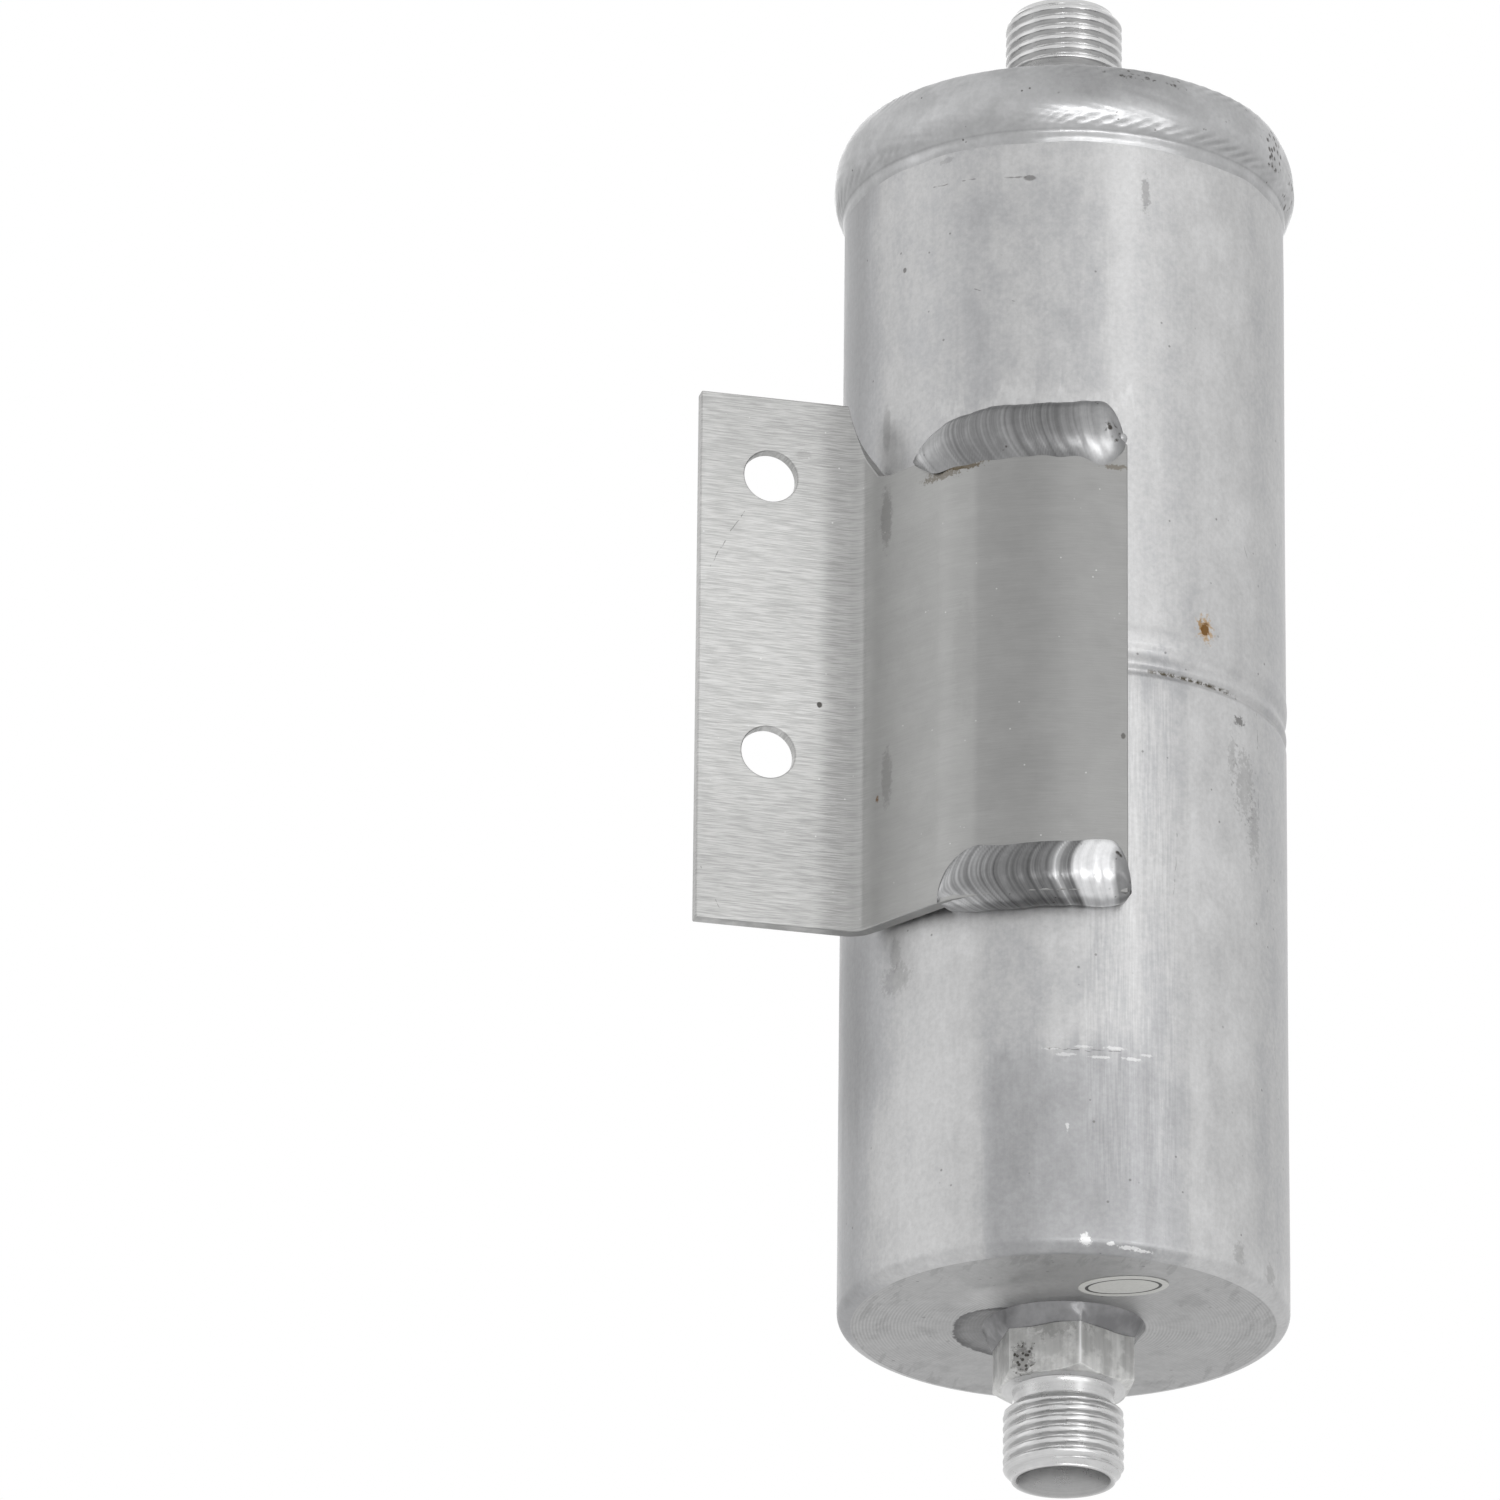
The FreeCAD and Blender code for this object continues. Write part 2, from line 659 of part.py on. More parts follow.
def drill_ring(body, name, radius, count):
    """Ring of equal holes through a plate."""
    sketch = new_sketch(body, name + "_outline", "XY_Plane")
    draw_circle(sketch, radius, ZERO, S["plate_hole_radius"])
    hole = pocket_through(body, name + "_hole", sketch)
    ring = body.newObject("PartDesign::PolarPattern", name)
    ring.Originals = [hole]
    ring.Axis = (sketch, ["N_Axis"])
    ring.Angle = 360
    bind(ring, "Occurrences", count)
    body.Tip = ring
    doc.recompute()


def make_perforated_plate(label, level):
    """Perforated retainer plate."""
    body = make_disc(label, level, S["plate_thickness"])
    centre = new_sketch(body, "centre_outline", "XY_Plane")
    draw_circle(centre, ZERO, ZERO, S["plate_hole_radius"])
    pocket_through(body, "centre_hole", centre)
    drill_ring(body, "inner_ring", S["inner_ring_radius"], S["inner_ring_count"])
    drill_ring(body, "outer_ring", S["outer_ring_radius"], S["outer_ring_count"])
    return body


def make_spring(level):
    """Compression spring between the upper plate and the cap, with ground ends. The wire's
    round section is drawn with WIRE_SIDES flats that touch its circle."""
    body = new_body("compression_spring", level)
    height = cap_roof - level
    sketch = new_sketch(body, "wire_section", "XZ_Plane")
    inset = S["spring_wire"] / 2 - S["spring_ground"]
    half_step = 180 / WIRE_SIDES
    reach = S["spring_wire"] / 2 / size_cos(half_step)
    section = []
    for number in range(WIRE_SIDES):
        angle = half_step * (2 * number + 1)
        corner_x = S["spring_radius"] + reach * size_cos(angle)
        section.append((corner_x, inset + reach * size_sin(angle)))
    draw_outline(sketch, section)
    coil = body.newObject("PartDesign::AdditiveHelix", "coil")
    coil.Profile = sketch
    coil.ReferenceAxis = (sketch, ["V_Axis"])
    coil.Mode = 0
    run = height - inset * 2
    bind(coil, "Pitch", run / S["spring_turns"])
    bind(coil, "Height", run)
    doc.recompute()
    outside = S["spring_radius"] + S["spring_wire"] * 2
    for name, low, high in (
        ("ground_foot", -S["spring_wire"], ZERO),
        ("ground_head", height, height + S["spring_wire"]),
    ):
        corners = [(ZERO, low), (outside, low), (outside, high), (ZERO, high)]
        turn_profile(body, name, corners, cut=True)
    return body


def make_strainer():
    """Gauze thimble over the outlet union's spigot, on the canister's floor."""
    body = new_body("outlet_strainer", S["can_floor"])
    inner = S["union_spigot_radius"] + S["strainer_clearance"]
    outer = inner + S["strainer_wall"]
    top = S["strainer_height"]
    corner = S["strainer_corner"]
    wall = S["strainer_wall"]
    corners = [
        (inner, ZERO),
        (outer, ZERO),
        (outer, top - corner),
        (outer - corner, top),
        (ZERO, top),
        (ZERO, top - wall),
        (outer - corner, top - wall),
        (inner, top - corner),
    ]
    turn_profile(body, "thimble", corners)
    return body


def build_all():
    """Every sub-part, in the order it goes together."""
    parts = [
        make_canister_shell(),
        make_union("outlet_fitting", ZERO, False, S["outlet_turn"]),
        make_braze("outlet_braze", ZERO, False, S["outlet_turn"]),
        make_strainer(),
    ]
    level = ledge_level
    parts.append(make_perforated_plate("lower_plate", level))
    level = level + S["plate_thickness"]
    parts.append(make_disc("lower_gauze", level, S["gauze_thickness"]))
    level = level + S["gauze_thickness"]
    parts.append(make_disc("lower_felt_pad", level, S["pad_thickness"]))
    level = level + S["pad_thickness"]
    parts.append(make_disc("desiccant_charge", level, S["charge_height"]))
    level = level + S["charge_height"]
    parts.append(make_disc("upper_felt_pad", level, S["pad_thickness"]))
    level = level + S["pad_thickness"]
    parts.append(make_disc("upper_gauze", level, S["gauze_thickness"]))
    level = level + S["gauze_thickness"]
    parts.append(make_perforated_plate("upper_plate", level))
    level = level + S["plate_thickness"]
    parts.append(make_spring(level))
    parts.append(make_end_cap())
    parts.append(make_rim_weld())
    inlet_turn = -S["inlet_turn"]
    parts.append(make_union("inlet_fitting", cap_top, True, inlet_turn))
    parts.append(make_braze("inlet_braze", cap_top, True, inlet_turn))
    parts.append(make_bracket())
    parts.append(make_lower_weld())
    parts.append(make_upper_weld())
    parts.append(make_label())
    return parts


def check_parts(parts):
    """Stop if any object failed or any sub-part has no valid shape."""
    for item in doc.Objects:
        if "Invalid" in item.State or "Error" in item.State:
            raise RuntimeError(item.Name + " failed: " + str(item.State))
    for part in parts:
        if part.Shape.isNull() or not part.Shape.isValid():
            raise RuntimeError(part.Label + " has no valid shape")
        print(part.Label, "solids", len(part.Shape.Solids), "volume", round(part.Shape.Volume, 1))


all_parts = build_all()
doc.recompute()
check_parts(all_parts)
os.makedirs("parts", exist_ok=True)
for part in all_parts:
    part.Shape.exportStep("parts/" + part.Label + ".step")
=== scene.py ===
import json
import math
from types import SimpleNamespace

import bmesh
import bpy
import numpy as np
from bpy.props import FloatProperty, FloatVectorProperty, IntProperty, PointerProperty
from mathutils import Matrix, Vector


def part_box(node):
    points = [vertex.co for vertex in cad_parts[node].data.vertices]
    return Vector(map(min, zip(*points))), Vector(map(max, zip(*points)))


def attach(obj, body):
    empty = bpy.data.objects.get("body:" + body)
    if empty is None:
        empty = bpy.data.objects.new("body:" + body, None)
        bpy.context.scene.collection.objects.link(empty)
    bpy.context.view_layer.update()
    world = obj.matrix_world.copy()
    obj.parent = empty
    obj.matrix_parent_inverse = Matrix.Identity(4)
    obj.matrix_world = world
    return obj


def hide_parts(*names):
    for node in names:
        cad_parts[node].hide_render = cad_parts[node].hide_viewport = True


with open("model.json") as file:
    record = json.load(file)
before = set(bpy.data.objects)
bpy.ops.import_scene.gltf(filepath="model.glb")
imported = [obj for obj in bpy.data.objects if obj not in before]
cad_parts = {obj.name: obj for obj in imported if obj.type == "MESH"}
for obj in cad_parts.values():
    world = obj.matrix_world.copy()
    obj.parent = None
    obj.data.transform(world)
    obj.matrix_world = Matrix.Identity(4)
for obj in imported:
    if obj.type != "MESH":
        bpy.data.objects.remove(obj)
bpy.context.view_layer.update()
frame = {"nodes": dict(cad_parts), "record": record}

bl_info = {
    "name": "Receiver drier",
    "version": (1, 0, 0),
    "blender": (4, 5, 0),
    "location": "3D View > Sidebar > Drier",
    "description": "Skins and finishes of a welded aluminium receiver drier",
    "category": "Object",
}

# Shapes are worked out in millimetres above the canister's bottom face. Angles round the
# canister start at -Y and grow towards +X.
MM = 0.001
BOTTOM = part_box("canister_shell")[0].z
TURN = 2 * math.pi
BODY = "root"


def length(name, description, millimetres):
    """Property for a length; its default is given in millimetres."""
    return FloatProperty(
        name=name, description=description, default=millimetres * MM, unit="LENGTH", precision=5
    )


def angle(name, description, degrees):
    """Property for an angle; its default is given in degrees."""
    return FloatProperty(
        name=name, description=description, default=math.radians(degrees), subtype="ANGLE"
    )


def colour(name, description, values):
    """Property for a colour."""
    return FloatVectorProperty(
        name=name, description=description, default=values, subtype="COLOR", size=3, min=0, max=1
    )


# Sizes and colours

class CanisterSizes(bpy.types.PropertyGroup):
    radius: length("Radius", "Outside radius of the canister", 30.0)
    wall: length("Wall", "Side wall", 2.0)
    floor: length("Floor", "Thickness of the bottom", 5.0)
    corner: length("Corner", "Rounding between bottom and side", 1.8)
    height: length("Height", "Bottom face to the open rim", 161.0)
    cap_head: length("Cap head", "Cap's head above the rim", 9.0)
    opening: length("Opening", "Radius of the hole for the outlet union", 7.1)
    groove_low: length("Groove, lower edge", "Lower edge of the rolled groove", 81.4)
    groove_high: length("Groove, upper edge", "Upper edge of the rolled groove", 86.7)
    groove_depth: length("Groove depth", "Depth of the groove's two valleys", 0.42)
    facing_pitch: length("Facing pitch", "Spacing of the facing cut's marks", 0.46)
    facing_depth: length("Facing depth", "Depth of the facing cut's marks", 0.022)
    around: IntProperty(name="Columns", description="Columns round the canister", default=288)


class RimWeldSizes(bpy.types.PropertyGroup):
    foot: length("Foot", "How far the weld's thin lip runs down the side", 2.1)
    widest: length("Widest radius", "Radius at the bead's widest point", 31.5)
    lap: length("Lap", "Radius where the weld ends on the cap", 28.3)
    crown: length("Crown", "Height above the cap", 0.5)
    ripple_pitch: length("Ripple pitch", "Spacing of the ripples", 2.4)
    ripple_height: length("Ripple height", "Height of the ripples", 0.06)
    slant: FloatProperty(name="Slant", description="Ripples crossed from seam to cap", default=11.0)


class UnionSizes(bpy.types.PropertyGroup):
    flats: length("Across flats", "Width of the hexagon across flats", 17.0)
    hexagon: length("Hexagon", "Height of the hexagon", 9.0)
    chamfer: length("Chamfer", "Height of the hexagon's chamfer", 0.7)
    edge: length("Edge", "Rounding of the hexagon's upright edges", 0.16)
    neck: length("Neck radius", "Relief neck", 6.7)
    neck_height: length("Neck height", "Height of the relief neck", 2.6)
    thread: length("Thread radius", "Outside radius of the thread", 8.0)
    thread_height: length("Thread height", "Height of the threaded end", 9.9)
    pitch: length("Pitch", "Pitch of the thread", 1.5)
    thread_depth: length("Thread depth", "Depth of the thread", 0.7)
    nose: length("Nose", "Chamfer at the end of the thread", 1.15)
    bore: length("Bore", "Radius of the bore", 4.0)
    socket: length("Socket", "Radius of the tube socket", 5.0)
    socket_depth: length("Socket depth", "Depth of the socket from the end face", 7.0)
    mouth: length("Mouth", "Radius of the sealing cone's mouth", 6.15)
    mouth_depth: length("Mouth depth", "Depth of the sealing cone", 5.4)
    spigot: length("Spigot", "Radius of the spigot in the wall", 7.0)
    spigot_length: length("Spigot length", "Length of the spigot", 8.0)
    outlet_turn: angle("Outlet turn", "Angle of a corner of the outlet's hexagon", -1.8)
    inlet_turn: angle("Inlet turn", "Angle of a corner of the inlet's hexagon", 2.5)
    braze_radius: length("Braze radius", "Mean outside radius of the brazed fillet", 10.7)
    braze_height: length("Braze height", "Mean height of the brazed fillet", 2.5)


class BracketSizes(bpy.types.PropertyGroup):
    sheet: length("Sheet", "Thickness of the sheet", 2.0)
    offset: length("Offset", "Flange's front face from the axis", 10.8)
    reach: length("Reach", "Flange's free edge from the axis", 53.2)
    low: length("Lower edge", "Lower edge of the bracket", 48.8)
    high: length("Upper edge", "Upper edge of the flange", 124.9)
    hole: length("Hole radius", "Radius of the two holes", 3.65)
    hole_spacing: length("Hole spacing", "Distance between the holes", 40.0)
    hole_edge: length("Hole edge", "Holes from the free edge", 9.7)
    hole_drop: length("Hole drop", "Upper hole below the upper edge", 11.5)
    bend: length("Bend radius", "Middle radius of the sharp bend", 3.5)
    web: length("Web", "Web's middle plane from the axis", 31.5)
    web_turn: angle("Web turn", "Turn of the web from the flange", 59.0)
    soft_bend: length("Soft bend radius", "Middle radius of the soft bend", 9.0)
    saddle: length("Saddle radius", "Middle radius of the saddle", 32.9)
    saddle_end: angle("Saddle end", "Where the saddle ends", -0.4)
    saddle_high: length("Saddle top", "Upper edge of the saddle", 113.2)
    cut_start: length("Cut start", "Where the slanting cut leaves the upper edge", 33.0)
    cut_end: length("Cut end", "Where the slanting cut meets the saddle's edge", 28.5)
    edge: length("Edge rounding", "Rounding of the sheet's edges", 0.22)


class BeadSizes(bpy.types.PropertyGroup):
    upper_start: angle("Upper bead, start", "Left end of the upper bead", -51.5)
    upper_end: angle("Upper bead, end", "Right end of the upper bead", -0.9)
    lower_start: angle("Lower bead, start", "Left end of the lower bead", -44.5)
    lower_end: angle("Lower bead, end", "Right end of the lower bead", 0.3)
    crown: length("Crown", "Height of the bead's dome over its chord", 1.5)
    ripple_pitch: length("Ripple pitch", "Spacing of the crescents", 0.6)
    ripple_height: length("Ripple height", "Height of the crescents", 0.028)
    puddle_pitch: length("Puddle pitch", "Spacing of the larger lumps", 2.1)
    puddle_height: length("Puddle height", "Height of the larger lumps", 0.07)
    upper_crescent: length("Upper crescent", "How far the upper crescents' ends trail", 2.3)
    lower_crescent: length("Lower crescent", "How far the lower crescents' ends trail", 3.0)
    spatter: length("Spatter", "Radius of the drop at the upper bead's end", 0.8)


class StickerSizes(bpy.types.PropertyGroup):
    long: length("Length", "Length of the oval sticker", 12.0)
    wide: length("Width", "Width of the oval sticker", 7.5)
    thick: length("Thickness", "Thickness of the sticker", 0.12)
    across: length("Across", "Centre of the sticker, across", 3.4)
    forward: length("Forward", "Centre of the sticker, forward", -17.7)
    turn: angle("Turn", "Turn of its long side", -25.0)


class Finishes(bpy.types.PropertyGroup):
    drawn: colour("Drawn aluminium", "Side of the canister", (0.53, 0.53, 0.532))
    turned: colour("Turned aluminium", "Unions", (0.62, 0.62, 0.62))
    cap: colour("Cap", "Matte turned cap", (0.36, 0.36, 0.362))
    weld: colour("Weld", "Weld beads", (0.44, 0.442, 0.447))
    braze: colour("Braze", "Brazed fillets and flux stain", (0.19, 0.19, 0.195))
    rolled: colour("Sheet", "Sheet of the bracket", (0.6, 0.6, 0.592))
    sticker: colour("Sticker", "Paper of the sticker", (0.5, 0.5, 0.48))
    # The grime colour also paints the shade beside the crinkles low on the canister.
    grime: colour("Grime", "Dark dirt in pits and corners", (0.03, 0.025, 0.02))
    rust: colour("Rust", "Brown spots", (0.16, 0.075, 0.015))


class StageSizes(bpy.types.PropertyGroup):
    lens: FloatProperty(name="Lens", description="Focal length", default=303.88, unit="CAMERA")
    distance: length("Distance", "Camera from the aim", 1707.09)
    aim: length("Aim", "Aim above the bottom face", 86.0)
    heading: angle("Heading", "Camera's place round the canister", -15.0)
    elevation: angle("Elevation", "Camera's elevation, below the part", -22.517)
    floor_drop: length("Floor", "Floor below the part", 2500.0)


# Helpers for shapes

def in_mm(group):
    """The group's lengths in millimetres, its other values as they are."""
    values = {}
    for prop in group.bl_rna.properties:
        if prop.identifier in group.__annotations__:
            value = getattr(group, prop.identifier)
            values[prop.identifier] = value / MM if prop.unit == "LENGTH" else value
    return SimpleNamespace(**values)


def wander(turns, seed, slowest, fastest):
    """Smooth noise round a circle: cosines of whole wave numbers with seeded random phases
    and heights that fall with the wave number, scaled to a mean square of one half."""
    rng = np.random.default_rng(seed)
    waves = np.arange(slowest, fastest + 1)
    phases = rng.uniform(0, TURN, waves.size)
    heights = rng.uniform(0.5, 1.0, waves.size) / np.sqrt(waves)
    heights = heights / math.sqrt(np.sum(heights**2))
    turns = np.asarray(turns, float)
    return np.sum(heights * np.cos(turns[..., None] * waves + phases), axis=-1)


def step(low, high, value):
    """0 below low, 1 above high, and the smooth cubic 3t^2 - 2t^3 between them."""
    t = np.clip((np.asarray(value, float) - low) / (high - low), 0, 1)
    return t * t * (3 - 2 * t)


def hump(value, middle, half):
    """Raised cosine that is 1 at the middle and 0 from half on."""
    t = np.clip(np.abs(np.asarray(value, float) - middle) / half, 0, 1)
    return 0.5 + 0.5 * np.cos(math.pi * t)


def zone(turns, middle, half):
    """Hump of the angle round the part, which is first brought within half a turn."""
    return hump(np.mod(turns + TURN / 2, TURN), TURN / 2 + middle, half)


def arc(centre, radius, start, stop, count):
    """Points on a circle, as rows of radius and height, from angle start to stop."""
    angles = np.radians(np.linspace(start, stop, count))
    points = np.stack([np.cos(angles), np.sin(angles)], axis=-1)
    return np.asarray(centre, float) + radius * points


def line(start, end, count):
    """Evenly spaced points from start up to, but without, end."""
    share = np.arange(count)[:, None] / count
    return np.asarray(start, float) * (1 - share) + np.asarray(end, float) * share


def through(points, per_span):
    """Catmull-Rom curve: each span is the cubic whose slope at a point is half the step
    from the point before it to the point after it."""
    points = np.asarray(points, float)
    padded = np.concatenate([2 * points[:1] - points[1:2], points, 2 * points[-1:] - points[-2:-1]])
    t = np.linspace(0, 1, per_span, endpoint=False)[:, None]
    spans = []
    for a, b, c, d in zip(padded, padded[1:], padded[2:], padded[3:]):
        slope_b = (c - a) / 2
        slope_c = (d - b) / 2
        spans.append(
            b * (2 * t**3 - 3 * t**2 + 1)
            + slope_b * (t**3 - 2 * t**2 + t)
            + c * (3 * t**2 - 2 * t**3)
            + slope_c * (t**3 - t**2)
        )
    return np.concatenate(spans + [points[-1:]])


def round_axis(radius, height, turns):
    """Grid of points from radius and height, rows by columns, at angles round the axis."""
    radius, height, turns = np.broadcast_arrays(radius, height, turns)
    return np.stack([radius * np.sin(turns), -radius * np.cos(turns), height], axis=-1)


def columns(count, start=0.0):
    """Angles spaced evenly over one turn."""
    return start + np.arange(count) * TURN / count


def outward(points, faces):
    """The faces, turned round if the volume that they enclose comes out negative."""
    a, b, c, d = (points[faces[:, k]] for k in range(4))
    volume = np.sum(a * np.cross(b, c)) + np.sum(a * np.cross(c, d))
    return faces if volume > 0 else faces[:, ::-1]


def make_piece(name, points, faces, slot, marks=None, sharp=35):
    """A mesh from points in millimetres above the bottom face and faces of four corners, a
    triangle having its last corner twice; it rides on the part and has the slot's finish."""
    faces = outward(points, faces)
    lists = [list(dict.fromkeys(face)) for face in faces.tolist()]
    mesh = bpy.data.meshes.new(name)
    mesh.from_pydata(points * MM + np.array([0, 0, BOTTOM]), [], lists)
    for label, values in (marks or {}).items():
        attribute = mesh.attributes.new(label, "FLOAT", "POINT")
        attribute.data.foreach_set("value", np.asarray(values, np.float32).ravel())
    mesh.shade_smooth()
    if sharp:
        mesh.set_sharp_from_angle(angle=math.radians(sharp))
    mesh.materials.append(finish(slot))
    piece = bpy.data.objects.new(name, mesh)
    bpy.context.scene.collection.objects.link(piece)
    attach(piece, BODY)
    return piece


def make_skin(name, rows, slot, marks=None, closed=True, sharp=35):
    """Closed surface over a grid of points whose rows run once round. If closed, the last
    row joins the first; otherwise a fan to the row's middle closes each end."""
    count, around = rows.shape[:2]
    index = np.arange(count * around).reshape(count, around)
    beside = np.roll(index, -1, axis=1)
    points = rows.reshape(-1, 3)
    marks = {label: np.broadcast_to(values, (count, around)).ravel()
             for label, values in (marks or {}).items()}
    if closed:
        corners = [index, beside, np.roll(beside, -1, axis=0), np.roll(index, -1, axis=0)]
        faces = np.stack(corners, axis=-1).reshape(-1, 4)
        return make_piece(name, points, faces, slot, marks, sharp)
    faces = np.stack([index[:-1], beside[:-1], beside[1:], index[1:]], axis=-1).reshape(-1, 4)
    first = np.full(around, count * around)
    last = first + 1
    start_fan = np.stack([beside[0], index[0], first, first], axis=-1)
    end_fan = np.stack([index[-1], beside[-1], last, last], axis=-1)
    points = np.concatenate([points, rows[[0, -1]].mean(axis=1)])
    marks = {label: np.append(values, [values[0], values[-1]]) for label, values in marks.items()}
    faces = np.concatenate([faces, start_fan, end_fan])
    return make_piece(name, points, faces, slot, marks, sharp)


# Shapes

def groove_depth(size, height):
    """Rolled groove: a wide valley above a narrow one, a low ridge between them and a faint
    swelling above."""
    span = size.groove_high - size.groove_low
    upper = hump(height, size.groove_high - span * 0.3, span * 0.3)
    lower = hump(height, size.groove_low + span * 0.2, span * 0.2)
    swelling = hump(height, size.groove_high + span * 0.2, span * 0.3)
    return size.groove_depth * (0.8 * upper + lower - 0.25 * swelling)


def canister_surface(size):
    """Profile of the canister carried round the axis. The bottom face has the spiral of a
    facing cut, a sine of the radius plus the share of a turn; the side wall has slow waves
    of a few hundredths of a millimetre, and the groove follows groove_depth."""
    turns = columns(size.around)
    edge = size.radius - size.corner
    bore = size.radius - size.wall
    per_mark = 4
    face = np.arange(size.opening, edge, size.facing_pitch / per_mark)
    lip = size.groove_high + 2.6
    groove = np.arange(size.groove_low, lip, 0.16)
    side = np.concatenate([
        np.linspace(size.corner, size.groove_low, 22)[1:-1],
        groove,
        np.linspace(lip, size.height, 22),
    ])
    ledge = size.groove_high - 0.2
    ridge = bore - 0.8
    corners = [
        (bore, size.height), (bore, ledge), (ridge, ledge), (ridge, ledge - 1), (bore, ledge - 2.6),
        (bore, size.floor), (size.opening, size.floor), (size.opening, 0),
    ]
    counts = (2, 1, 1, 1, 2, 3, 1)
    inside = np.concatenate([line(*span) for span in zip(corners, corners[1:], counts)])
    profile = np.concatenate([
        np.stack([face, np.zeros(face.size)], axis=-1),
        arc((edge, size.corner), size.corner, -90, 0, 9),
        np.stack([np.full(side.size, size.radius), side], axis=-1),
        inside,
    ])
    radius, height = (profile[:, k, None] + np.zeros(turns.size) for k in (0, 1))
    on_face = (np.arange(len(profile)) < face.size)[:, None]
    cut = 0.5 - 0.5 * np.cos(TURN * (radius / size.facing_pitch + turns / TURN))
    fade = step(size.opening, size.opening + 2, radius) * step(edge, edge - 0.8, radius)
    height = height + on_face * size.facing_depth * cut * fade
    on_side = (radius > size.radius - 0.01) & (height > size.corner)
    waves = 0.035 * np.sin(2 * turns + height / 31) + 0.02 * np.sin(5 * turns - height / 13 + 1)
    waves = waves * step(size.corner, size.corner + 8, height)
    waves = waves * step(size.height, size.height - 11, height)
    radius = radius + on_side * (waves - groove_depth(size, height))
    marks = {
        "turned": on_face * np.ones(turns.size),
        "valley": on_side * hump(height, size.groove_low + 1.15, 0.5),
    }
    return round_axis(radius, height, turns), marks


def rim_weld_surface(can, size):
    """Weld ring: a profile from a thin lip on the side over a crease and the widest point to
    the lap on the cap. Its ripples are cosines of a phase that grows round the ring and
    slants from seam to cap, strong above the crease and at the cap and weak in a calm zone;
    both edges wander. The valley mark is painted shade in the ripples' hollows and in a thin
    line along the lip; the shade mark is painted shade on the ring's upper part in front."""
    around = 800
    turns = columns(around)
    rim = can.height
    top = rim + can.cap_head
    outer = through([
        (can.radius - 0.03, rim - size.foot),
        (can.radius + 0.17, rim - size.foot * 0.66),
        (can.radius + 0.27, rim - 0.5),
        (can.radius + 0.8, rim + 0.5),
        (size.widest - 0.12, rim + 2.3),
        (size.widest, rim + 3.9),
        (size.widest - 0.4, rim + 6.9),
        (size.widest - 1.6, top + size.crown * 0.7),
        (size.lap + 0.55, top + size.crown),
        (size.lap, top - 0.02),
    ], 8)
    hidden = np.array([(29.0, top - 0.4), (29.05, rim + 0.05), (can.radius - 0.4, rim - 0.3)])
    slope = np.gradient(outer, axis=0)
    steps = np.linalg.norm(np.diff(outer, axis=0), axis=1)
    share = (np.concatenate([[0], np.cumsum(steps)]) / steps.sum())[:, None]
    slope /= np.linalg.norm(slope, axis=1)[:, None]
    normal = np.stack([slope[:, 1], -slope[:, 0]], axis=-1)
    number = round(TURN * size.widest / size.ripple_pitch)
    drift = 0.3 * wander(turns, 3, 4, 26)
    phase = number * turns / TURN - size.slant * share + drift
    f = np.mod(phase, 1.0)
    ripple = 0.5 + 0.5 * np.cos(TURN * (f + 0.1 * np.sin(TURN * f)))
    above_crease, at_cap = hump(share, 0.23, 0.11), hump(share, 0.86, 0.24)
    calm = 1 - 0.8 * zone(turns, -0.95, 0.5)
    strength = 0.12 + calm * above_crease + 0.75 * at_cap
    strength = strength * step(0.1, 0.15, share) * step(1, 0.96, share)
    strength = strength * np.clip(0.8 + 0.45 * wander(turns, 5, 3, 14), 0.2, 1.4)
    lumps = 0.06 * wander(turns, 7, 3, 12) * np.sin(math.pi * share)
    lift = size.ripple_height * strength * (ripple - 0.5) + lumps
    lift = lift + 0.02 * wander(turns + 2.2 * share, 15, 12, 50) * np.sin(math.pi * share)
    radius = outer[:, 0, None] + normal[:, 0, None] * lift
    height = outer[:, 1, None] + normal[:, 1, None] * lift
    height = height + 0.14 * wander(turns, 11, 3, 24) * step(0.2, 0, share)
    radius = radius + 0.16 * wander(turns, 13, 4, 36) * step(0.85, 1, share)
    radius = np.concatenate([radius, hidden[:, 0, None] + np.zeros(around)])
    height = np.concatenate([height, hidden[:, 1, None] + np.zeros(around)])
    # Painted shade: darker ripple hollows, a thin line along the lip, and the upper part in front.
    valley = (1 - ripple) ** 2 * strength * 0.6 + 0.5 * hump(share, 0.135, 0.022)
    shade = -0.24 * step(0.36, 0.5, share) * zone(turns, -0.1, 0.62)
    unseen = ((0, len(hidden)), (0, 0))
    marks = {"valley": np.pad(np.clip(valley, 0, 1), unseen), "shade": np.pad(shade, unseen)}
    return round_axis(radius, height, turns), marks


def hexagon_radius(flats, turns, corner):
    """Radius of a hexagon with a corner at the angle 0, its corners slightly rounded by a
    blend of the two sides that meet there."""
    side = np.mod(turns, TURN / 6) - TURN / 12
    plain = flats / 2 / np.cos(side)
    tip = flats / math.sqrt(3) - corner
    return plain - np.maximum(plain - tip, 0) ** 2 / (4 * corner)


